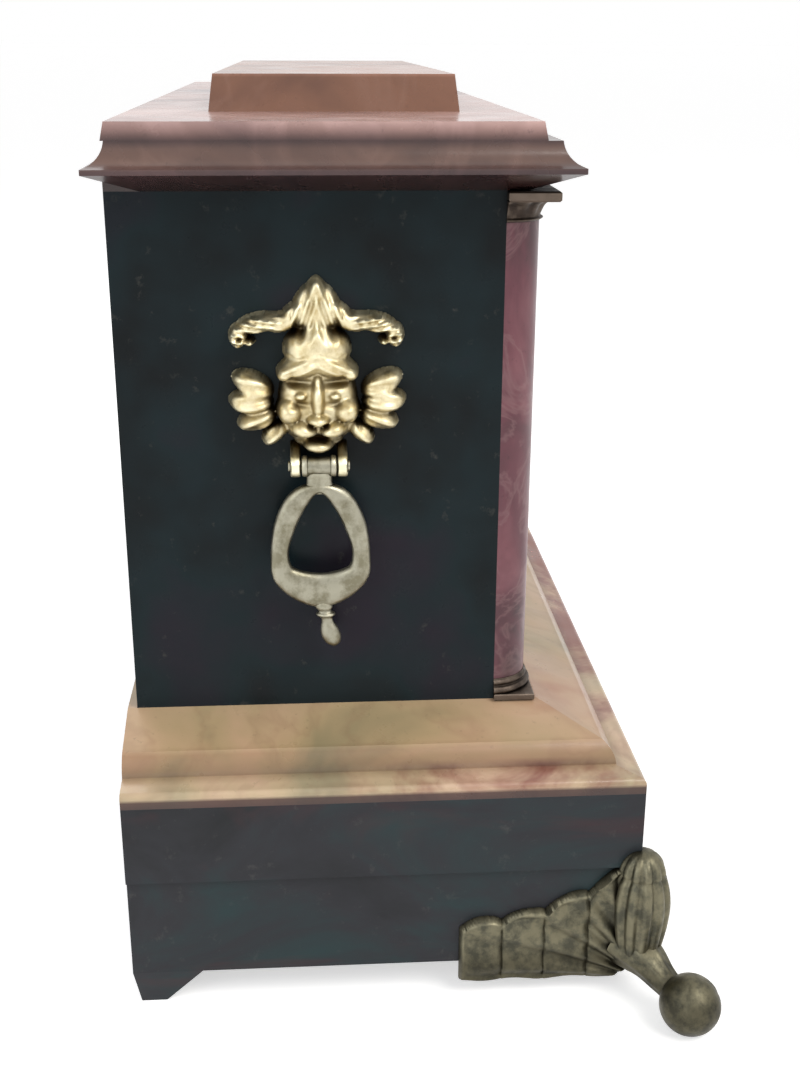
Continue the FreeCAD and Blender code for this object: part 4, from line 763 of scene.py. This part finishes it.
def dent(u, v, at, size, depth):
    return depth * np.exp(-(((u - at[0]) / size[0]) ** 2) - ((v - at[1]) / size[1]) ** 2)


def both_sides(shapes):
    """Each shape with the side it stands on: once on the middle line, or else on both sides of it."""
    for shape in shapes:
        for side in (1, -1) if shape[0][0] else (1,):
            yield side, shape


def mask_field(u, v):
    """Height of the casting over its back: lobes blended together, then cut with fine detail."""
    height = np.log(sum(np.exp(lobe(side * u, v, *shape)) for side, shape in both_sides(MASK_LOBES)))
    for side, shape in both_sides(MASK_DENTS):
        height = height - dent(side * u, v, *shape)
    off = np.abs(u)
    away = np.hypot(u / FACE_HALF[0], (v + 1) / FACE_HALF[1])
    turn = np.arctan2(v + 1, off)
    # strands of the mane round the face, the crest's leaf with its rib, the curls and the brow
    mane = np.clip((away - 0.86) / 0.2, 0, 1) * (v < 13)
    height += 0.55 * mane * np.cos(30 * turn + 2.2 * away)
    crest = np.clip((v - 15.5) / 3, 0, 1) * (off < 7.5)
    height += crest * (0.8 * np.exp(-((u / 0.9) ** 2)) + 0.42 * np.cos(2.6 * off + 0.9 * v))
    curl = np.clip((off - 9) / 3, 0, 1) * (v > 13.5)
    height += 0.45 * curl * np.cos(3.4 * (v - 0.16 * off))
    brow = (v > 7) & (v < 15) & (away < 0.9)
    height += 0.25 * np.cos(2.4 * v + 1.2 * off) * brow
    # the hollow that leaves the ring's eye room to turn
    room = np.clip(EYE_ROOM**2 - (v + MASK_OVER_PIN) ** 2, 0, None)
    barrel = (PIN_X - SIDE_X) - np.sqrt(room)
    height = np.where((room > 0) & (off < EYE_REACH), np.minimum(height, barrel), height)
    return np.minimum(height, MASK_DEPTH)


def ear(y):
    """A rounded ear that holds one end of the pin, from the casting's back out round the pin."""
    reach, head = PIN_X - SIDE_X, EAR_RADIUS
    turns = np.radians(np.linspace(-90, 90, 13))
    outline = [(0, -head + 0.6), (1.2, -head)]
    outline += [(reach + head * math.cos(t), head * math.sin(t)) for t in turns]
    outline += [(reach * 0.5, head + 1.2), (1.0, head + 2.6), (0, head + 2.6)]
    rows = []
    for share, along in EAR_SECTION:
        rows.append([(SIDE_X + x * share, y + along, PIN_Z + z * share) for x, z in outline])
    return loft(rows)


def masks():
    face = relief(mask_field, MASK_ACROSS, MASK_UP, MASK_STEP, MASK_EDGE)
    cast = mapped(face, lambda u, v, h: (SIDE_X + h, PIN_Y - u, MASK_Z + v))
    whole = joined(cast, ear(PIN_Y - EAR_OUT), ear(PIN_Y + EAR_OUT))
    piece("lion_mask_right_cast", whole, "gilt", "case", ("lion_mask_right",), 60)
    piece("lion_mask_left_cast", mirrored(whole), "gilt", "case", ("lion_mask_left",), 60)


# ---------------------------------------------------------------- hanging rings

RING_THICK = 4.5
RING_PATH = (
    # across (toward the front), up from the pin, half width of the band
    (0, -6.6, 1.6),
    (6.2, -10.2, 3.2),
    (10.3, -18, 3.3),
    (12.2, -27.5, 2.7),
    (10.2, -35, 3.9),
    (0, -39.2, 5.5),
)
RING_NECK = (
    # up from the pin, half width, half thickness
    (-1.9, 4.0, 2.1),
    (-3.4, 3.8, 2.2),
    (-5.0, 3.8, 2.2),
    (-7.0, 4.6, 2.0),
    (-8.4, 2.6, 1.2),
)
RING_DROP = (
    # radius, up from the pin
    (0, -42.6),
    (2.2, -42.8),
    (2.7, -44.6),
    (1.9, -46),
    (3.0, -47),
    (1.9, -48.1),
    (1.8, -49.4),
    (2.7, -51.8),
    (3.0, -54),
    (2.4, -56.2),
    (1.0, -57.5),
    (0, -57.8),
)
DROP_FLATNESS, DROP_LEAN = 0.75, 0.22
DROP_AXIS = (0.6, -44)  # a point that the drop's leaning axis passes: toward the front, up
RING_EYE = (
    # radius, along the pin: the bore and two beads
    (1.56, -5),
    (2.9, -5),
    (3.2, -4.6),
    (3.2, -3.6),
    (2.7, -3.2),
    (2.7, 3.2),
    (3.2, 3.6),
    (3.2, 4.6),
    (2.9, 5),
    (1.56, 5),
)


def squared(wave):
    """A sine or cosine a little flattened, so that a circle becomes a rounded square."""
    return np.sign(wave) * np.abs(wave) ** 0.8


def ring_loop():
    """The band of the ring: rounded in section, wide at its foot and narrow at its shoulders."""
    half = np.array(RING_PATH)
    other = half[-2:0:-1] * (-1, 1, 1)
    line = curve(np.vstack((half, other)), 8, closed=True)
    way = np.roll(line, -1, axis=0) - np.roll(line, 1, axis=0)
    way = way[:, :2] / np.linalg.norm(way[:, :2], axis=1)[:, None]
    turns = circle(16)
    rows = []
    for (u, v, width), (way_u, way_v) in zip(line, way):
        spread = squared(np.cos(turns)) * width
        depth = squared(np.sin(turns)) * RING_THICK / 2
        rows.append(np.stack((depth, u + way_v * spread, v - way_u * spread), axis=1))
    return loft(rows, closed=True)


def ring_neck():
    turns = circle(16)
    rows = []
    for v, width, depth in RING_NECK:
        rows.append(np.stack((depth * np.sin(turns), width * np.cos(turns), np.full(16, v)), axis=1))
    return loft(rows)


def ring_drop():
    """The turned drop under the loop, a little flattened and leaning toward the front."""
    turned = lathe(curve(RING_DROP, 4), 24)
    front, level = DROP_AXIS
    return mapped(turned, lambda x, y, z: (x * DROP_FLATNESS, y + DROP_LEAN * (level - z) + front, z))


def ring_eye():
    """The barrel round the pin, bored through and beaded at its ends."""
    return mapped(lathe(RING_EYE, 32), lambda x, y, z: (x, z, y))


def rings():
    whole = joined(ring_loop(), ring_neck(), ring_drop(), ring_eye())
    right = mapped(whole, lambda x, u, v: (PIN_X + x, PIN_Y - u, PIN_Z + v))
    left = mirrored(right)
    piece("ring_right_cast", right, "silvered", "ring_right", ("ring_handle_right",), 50)
    piece("ring_left_cast", left, "silvered", "ring_left", ("ring_handle_left",), 50)


# ---------------------------------------------------------------- cast front feet

WING_LENGTH, WING_TOP, WING_FOOT = 55, 51, 5
WING_THICK = 3.4
WING_EDGE = 0.7  # where the relief gets as low as this, the wing ends
LEAF_PITCH = WING_LENGTH / 4
FOOT_STEP, QUICK_FOOT_STEP = 0.45, 0.9
CORNER_LEAF = (
    # radius, height over the floor
    (0, 9.5),
    (4.4, 9.6),
    (6.4, 13),
    (7.6, 18.5),
    (8.9, 26),
    (9.5, 33),
    (9.1, 38),
    (8.2, 42),
    (7.2, 44),
    (7.3, 45.4),
    (6.2, 48.6),
    (3.6, 51.2),
    (0, 52),
)
CORNER_LEAF_OUT = 2.4
LEG_RADII = (8, 6.2, 4.7, 4.2, 5.4)
TOE_FLAT = 0.5


def wing_top(a):
    """The wing's top edge over its distance from the corner: it climbs to the corner in four leaves."""
    climb = np.interp(a, (0, 12, 31, 50, WING_LENGTH), (49.5, 40, 31.6, 28.4, 27))
    scallop = np.abs(np.sin(np.pi * np.clip(a, 0, WING_LENGTH) / LEAF_PITCH)) ** 0.6
    return climb - 2.6 * (1 - scallop)


def wing_field(a, z):
    """Height of a wing's relief over the wood: leaves that fan out of the foot of the corner."""
    # how far a place lies inside the wing's top, its foot with a lip at the corner, and its end
    head = wing_top(a) - z
    foot_line = z - WING_FOOT - 2.2 * np.exp(-((a / 3.5) ** 2)) - 0.4 * np.cos(a / 3)
    edge = np.minimum(np.minimum(head, foot_line), np.minimum(WING_LENGTH - a, 30))
    body = WING_THICK * (1 - np.exp(-np.clip(edge, 0, None) / 1.1)) + np.clip(edge, None, 0)
    # leaf ribs, a raised rim, a swelling near the corner and seams between the leaves
    turn = np.arctan2(z - 4, a + 6)
    fade = np.clip(edge / 3, 0, 1)
    ribs = fade * (0.75 * np.cos(turn * 26 + 0.05 * a) - 0.35)
    rim = 0.7 * np.exp(-(((edge - 1.3) / 0.8) ** 2))
    swell = 1.6 * np.exp(-((a / 9) ** 2) - ((z - 26) / 14) ** 2)
    seam = 0.7 * np.exp(-((a % LEAF_PITCH) ** 2)) * fade
    return body + ribs + rim + swell - seam


def leg():
    """The leg from the corner out to the toe, faintly fluted."""
    path = (
        (BASE_X - 1, BASE_FRONT_Y + 1, 17),
        (BASE_X + 6.5, BASE_FRONT_Y - 4.5, 15),
        (BASE_X + 12, BASE_FRONT_Y - 8.2, 12),
        (BASE_X + 16.5, BASE_FRONT_Y - 11.3, 10.2),
        (TOE_X, TOE_Y, TOE_RADIUS),
    )
    line = curve(np.column_stack((path, LEG_RADII)), 6)
    turns = circle(36)
    flutes = 1 + 0.05 * np.cos(8 * turns)
    rows = []
    for (x, y, z, radius), along in zip(line, np.gradient(line[:, :3], axis=0)):
        along = along / np.linalg.norm(along)
        side = np.cross(along, (0, 0, 1))
        side /= np.linalg.norm(side)
        over = np.cross(side, along)
        across = np.outer(radius * flutes * np.cos(turns), side)
        rows.append(np.array((x, y, z)) + across + np.outer(radius * flutes * np.sin(turns), over))
    return loft(rows)


def corner_leaf():
    """The fluted leaf that wraps the corner, full in the middle and turned over at its tip."""

    def flutes(turn, z):
        depth = 0.13 * np.clip((z - 10) / 8, 0, 1) * np.clip((52 - z) / 4, 0, 1)
        return 1 - depth * (0.5 - 0.5 * np.cos(11 * turn + 0.03 * (z - 30))) ** 2

    turned = lathe(curve(CORNER_LEAF, 3), 96, ripple=flutes)
    return moved(turned, BASE_X + CORNER_LEAF_OUT, BASE_FRONT_Y - CORNER_LEAF_OUT, 0)


def toe():
    """The ball of the foot, flat where it stands and scored by three grooves."""
    middle = TOE_RADIUS - TOE_FLAT
    turns = np.radians(np.linspace(-90, 90, 29))
    ball = [(TOE_RADIUS * math.cos(t), max(middle + TOE_RADIUS * math.sin(t), 0.0)) for t in turns]
    ball[0] = (0, 0)
    ball[-1] = (0, ball[-1][1])

    def grooves(turn, z):
        third = 2 * np.pi / 3
        groove = np.exp(-(((np.mod(turn + np.pi / 6, third) - third / 2) / 0.09) ** 2))
        return 1 - 0.05 * groove * np.clip((z - 3) / 4, 0, 1)

    return moved(lathe(ball, 72, ripple=grooves), TOE_X, TOE_Y, 0)


def feet():
    step = FOOT_STEP
    wing = relief(wing_field, (0, WING_LENGTH + 0.4), (WING_FOOT - 2, WING_TOP), step, WING_EDGE)
    side = mapped(wing, lambda a, z, h: (BASE_X + h, BASE_FRONT_Y + a, z))
    front = mapped(wing, lambda a, z, h: (BASE_X - a, BASE_FRONT_Y - h, z))
    right = joined(side, front, leg(), corner_leaf(), toe())
    left = mirrored(right)
    piece("front_foot_right_cast", right, "bronze", "case", ("front_foot_right",), 55)
    piece("front_foot_left_cast", left, "bronze", "case", ("front_foot_left",), 55)


# ---------------------------------------------------------------- bases and capitals of the columns

PLINTH_HALF, PLINTH_HEIGHT, PLINTH_CHAMFER = 13, 2.1, 0.3
SLAB_HALF, SLAB_HEIGHT, SLAB_CHAMFER = 15, 3, 0.5
BASE_BEADS = (
    # radius, up from the deck
    (12.4, 2),
    (13, 3.1),
    (12.4, 4.2),
    (11.5, 4.6),
    (11.9, 5.6),
    (11.4, 6.5),
    (11.2, 7),
)
CAPITAL_BELL = (
    # radius, up from the cornice's foot
    (11.3, -9),
    (12.1, -8.4),
    (11.3, -7.7),
    (11.8, -6.6),
    (12.9, -4.6),
    (14.4, -3.4),
    (14.6, -3),
)


def block_before_case(x, foot, half, height, chamfer):
    """A square block against the front of the case, chamfered at its top and foot."""
    return chamfered_block((x - half, FRONT_Y - half, foot), (x + half, FRONT_Y, foot + height), chamfer)


def half_turned(profile, x, z, ripple=None):
    """A profile turned through the half circle in front of the case, with a flat back."""
    line = curve(profile, 4)
    closed = np.vstack(((0, line[0, 1]), line, (0, line[-1, 1])))
    return moved(lathe(closed, 49, 180, 180, ripple), x, FRONT_Y, z)


def column_foot(x):
    """Turned beads on a square plinth."""
    plinth = block_before_case(x, DECK_Z, PLINTH_HALF, PLINTH_HEIGHT, PLINTH_CHAMFER)
    return joined(plinth, half_turned(BASE_BEADS, x, DECK_Z))


def capital(x):
    """A bell of lapped leaves under a square slab."""

    def leaves(turn, height):
        grown = np.clip((height + 7.6) / 3, 0, 1)
        return 1 - 0.07 * grown * (0.5 - 0.5 * np.cos(16 * turn))

    slab = block_before_case(x, CORNICE_Z - SLAB_HEIGHT, SLAB_HALF, SLAB_HEIGHT, SLAB_CHAMFER)
    return joined(slab, half_turned(CAPITAL_BELL, x, CORNICE_Z, leaves))


def column_ends():
    places = [centre(shaft)[0] for shaft in COLUMN_SHAFTS]
    beads = joined(*[column_foot(x) for x in places])
    heads = joined(*[capital(x) for x in places])
    piece("column_bases_turned", beads, "shaded_bronze", "case", ("column_bases",))
    piece("column_capitals_cast", heads, "shaded_bronze", "case", ("column_capitals",))


# ---------------------------------------------------------------- printing on the dial

NUMERALS = ("XII", "I", "II", "III", "IIII", "V", "VI", "VII", "VIII", "IX", "X", "XI")
NUMERAL_FOOT, NUMERAL_HEIGHT = 41, 11
LETTERS = {
    # width, then strokes from (across, up) to (across, up), and whether each is heavy
    "I": (3.2, (((0, 0), (0, 1), True),)),
    "V": (6.4, (((-0.5, 1), (0, 0), True), ((0.5, 1), (0, 0), False))),
    "X": (6.4, (((-0.5, 1), (0.5, 0), True), ((0.5, 1), (-0.5, 0), False))),
}
LETTER_MARGIN = 1.8
STROKES = {
    # heavy or light: width, thickness of the ink, half width of the serif at each end
    True: (1.6, 0.12, 1.35),
    False: (0.6, 0.1, 0.95),
}
SERIF_WIDTH, SERIF_THICK = 0.5, 0.14
MINUTE_RINGS = (54.6, 57.6)
RING_LINE = 0.35
MARK_REACH = (54.7, 57.8)
HOUR_MARK_WIDTH, MINUTE_MARK_WIDTH = 1.3, 0.5
LINE_THICK, MARK_THICK = 0.1, 0.11
# radius, out from the dial
COLLAR = ((4.7, 0), (6.0, 0), (6.1, 0.35), (5.5, 0.6), (4.9, 0.45))


def bar_on_dial(start, end, width, thick):
    """A printed bar between two places on the dial, given as (across, up) from its middle."""
    start, end = np.array(start, float), np.array(end, float)
    way = (end - start) / np.linalg.norm(end - start)
    side = np.array((-way[1], way[0])) * width / 2
    corners = (start - side, end - side, end + side, start + side)
    rows = []
    for y in (DIAL_FACE_Y, DIAL_FACE_Y - thick):
        rows.append([(a, y, DIAL_Z + b) for a, b in corners])
    return loft(rows)


def numeral(text, hour):
    """One numeral, its foot toward the middle of the dial."""
    turn = math.radians(90 - 30 * hour)
    up = np.array((math.cos(turn), math.sin(turn)))
    across = np.array((math.sin(turn), -math.cos(turn)))
    place, bars = -sum(LETTERS[letter][0] for letter in text) / 2, []

    def spot(a, b):
        return across * a + up * (NUMERAL_FOOT + b)

    for letter in text:
        width, strokes = LETTERS[letter]
        middle, reach = place + width / 2, width - LETTER_MARGIN
        for start, end, heavy in strokes:
            stroke, thick, serif = STROKES[heavy]
            ends = [(middle + a * reach, b * NUMERAL_HEIGHT) for a, b in (start, end)]
            bars.append(bar_on_dial(spot(*ends[0]), spot(*ends[1]), stroke, thick))
            for a, b in ends:
                if letter != "V" or b > 0:
                    bars.append(bar_on_dial(spot(a - serif, b), spot(a + serif, b), SERIF_WIDTH, SERIF_THICK))
        place += width
    return bars


def dial_circle(radius):
    outer = radius + RING_LINE
    profile = [(radius, 0), (outer, 0), (outer, LINE_THICK), (radius, LINE_THICK)]
    return mapped(lathe(profile, 144), lambda x, y, z: (x, DIAL_FACE_Y - z, DIAL_Z + y))


def dial_printing():
    parts = [dial_circle(radius) for radius in MINUTE_RINGS]
    for hour, text in enumerate(NUMERALS):
        parts += numeral(text, hour)
    for minute in range(60):
        turn = math.radians(6 * minute)
        way = np.array((math.sin(turn), math.cos(turn)))
        width = HOUR_MARK_WIDTH if minute % 5 == 0 else MINUTE_MARK_WIDTH
        parts.append(bar_on_dial(MARK_REACH[0] * way, MARK_REACH[1] * way, width, MARK_THICK))
    piece("dial_numerals", joined(*parts), "ink", "case")


def dial_collars():
    """Brass collars let into the dial round the winding squares."""
    turned = lathe(curve(COLLAR, 3), 48)
    parts = []
    for arbor in ("time_winding_arbor", "strike_winding_arbor"):
        x, _, z = centre(arbor)
        parts.append(mapped(turned, lambda a, b, c, x=x, z=z: (x + a, DIAL_FACE_Y - c, z + b)))
    piece("dial_collars", joined(*parts), "brass", "case", (), 50)


# ---------------------------------------------------------------- stage, camera and light

# These places are in metres, as Blender has them.
CAMERA_AT = (-0.5675, 0.03195, 0.2907)
CAMERA_YAW, CAMERA_PITCH, CAMERA_ROLL = 3.88, 19.73, 0.2
CAMERA_LENS = 46.76
LAMPS = (
    # name, place, what it points at, size, watts, colour
    ("key", (-0.9, -0.75, 1.25), (-0.1, 0, 0.15), 0.8, 13, (1, 0.97, 0.93)),
    ("fill", (-1.0, 0.9, 0.7), (-0.1, 0, 0.12), 1.0, 5, (0.93, 0.96, 1)),
    ("back", (0.9, 0.7, 1.1), (0, 0, 0.15), 1.0, 6, (1, 1, 1)),
)
AMBIENT = 0.42
FLOOR_REACH = 60.0
FLOOR_GLOW = 0.56


def camera():
    made = bpy.data.objects.new("camera", bpy.data.cameras.new("camera"))
    bpy.context.scene.collection.objects.link(made)
    yaw, pitch = math.radians(CAMERA_YAW), math.radians(CAMERA_PITCH)
    level = math.cos(pitch)
    forward = Vector((math.cos(yaw) * level, -math.sin(yaw) * level, -math.sin(pitch)))
    roll = Matrix.Rotation(math.radians(CAMERA_ROLL), 3, "Z").to_quaternion()
    made.location = CAMERA_AT
    made.rotation_mode = "QUATERNION"
    made.rotation_quaternion = forward.to_track_quat("-Z", "Y") @ roll
    made.data.lens = CAMERA_LENS
    made.data.sensor_width = 36
    made.data.sensor_fit = "AUTO"
    made.data.clip_start = 0.01
    bpy.context.scene.camera = made


def area_light(name, at, towards, size, watts, colour):
    data = bpy.data.lights.new(name, "AREA")
    data.shape = "RECTANGLE"
    data.size = data.size_y = size
    data.energy = watts
    data.color = colour
    made = bpy.data.objects.new(name, data)
    made.location = at
    made.rotation_mode = "QUATERNION"
    made.rotation_quaternion = (Vector(towards) - Vector(at)).to_track_quat("-Z", "Y")
    bpy.context.scene.collection.objects.link(made)


def seen_by_camera(tree):
    """1 for rays from the camera and for those seen in gloss or through glass."""
    path = tree.nodes.new("ShaderNodeLightPath")
    total = path.outputs["Is Camera Ray"]
    for output in ("Is Glossy Ray", "Is Transmission Ray"):
        either = tree.nodes.new("ShaderNodeMath")
        either.operation = "MAXIMUM"
        tree.links.new(total, either.inputs[0])
        tree.links.new(path.outputs[output], either.inputs[1])
        total = either.outputs[0]
    return total


def studio():
    """A white world that lights the clock plainly, three lamps and a floor."""
    world = bpy.data.worlds.new("studio")
    bpy.context.scene.world = world
    world.use_nodes = True
    tree = world.node_tree
    background = tree.nodes["Background"]
    strength = tree.nodes.new("ShaderNodeMapRange")
    tree.links.new(seen_by_camera(tree), strength.inputs["Value"])
    strength.inputs["To Min"].default_value = AMBIENT
    strength.inputs["To Max"].default_value = 1.0
    tree.links.new(strength.outputs["Result"], background.inputs["Strength"])
    background.inputs["Color"].default_value = (1, 1, 1, 1)
    for lamp in LAMPS:
        area_light(*lamp)
    floor = bpy.data.meshes.new("floor")
    corners = [(FLOOR_REACH * x, FLOOR_REACH * y, 0) for x, y in ((-1, -1), (1, -1), (1, 1), (-1, 1))]
    floor.from_pydata(corners, [], [(0, 1, 2, 3)])
    floor.materials.append(floor_material())
    made = bpy.data.objects.new("floor", floor)
    bpy.context.scene.collection.objects.link(made)


def floor_material():
    """A pale floor that keeps the clock's shadow."""
    material = bpy.data.materials.new("pale floor")
    material.use_nodes = True
    tree = material.node_tree
    shader = tree.nodes["Principled BSDF"]
    shader.inputs["Base Color"].default_value = (0.9, 0.9, 0.9, 1)
    shader.inputs["Roughness"].default_value = 0.9
    glow = tree.nodes.new("ShaderNodeEmission")
    glow.inputs["Color"].default_value = (1, 1, 1, 1)
    strength = tree.nodes.new("ShaderNodeMath")
    strength.operation = "MULTIPLY"
    tree.links.new(seen_by_camera(tree), strength.inputs[0])
    strength.inputs[1].default_value = FLOOR_GLOW
    tree.links.new(strength.outputs[0], glow.inputs["Strength"])
    both = tree.nodes.new("ShaderNodeAddShader")
    tree.links.new(shader.outputs[0], both.inputs[0])
    tree.links.new(glow.outputs[0], both.inputs[1])
    tree.links.new(both.outputs[0], tree.nodes["Material Output"].inputs["Surface"])
    return material


dress_nodes()
camera()
studio()
masks()
rings()
feet()
column_ends()
dial_printing()
dial_collars()
bpy.context.scene.view_settings.view_transform = "Standard"
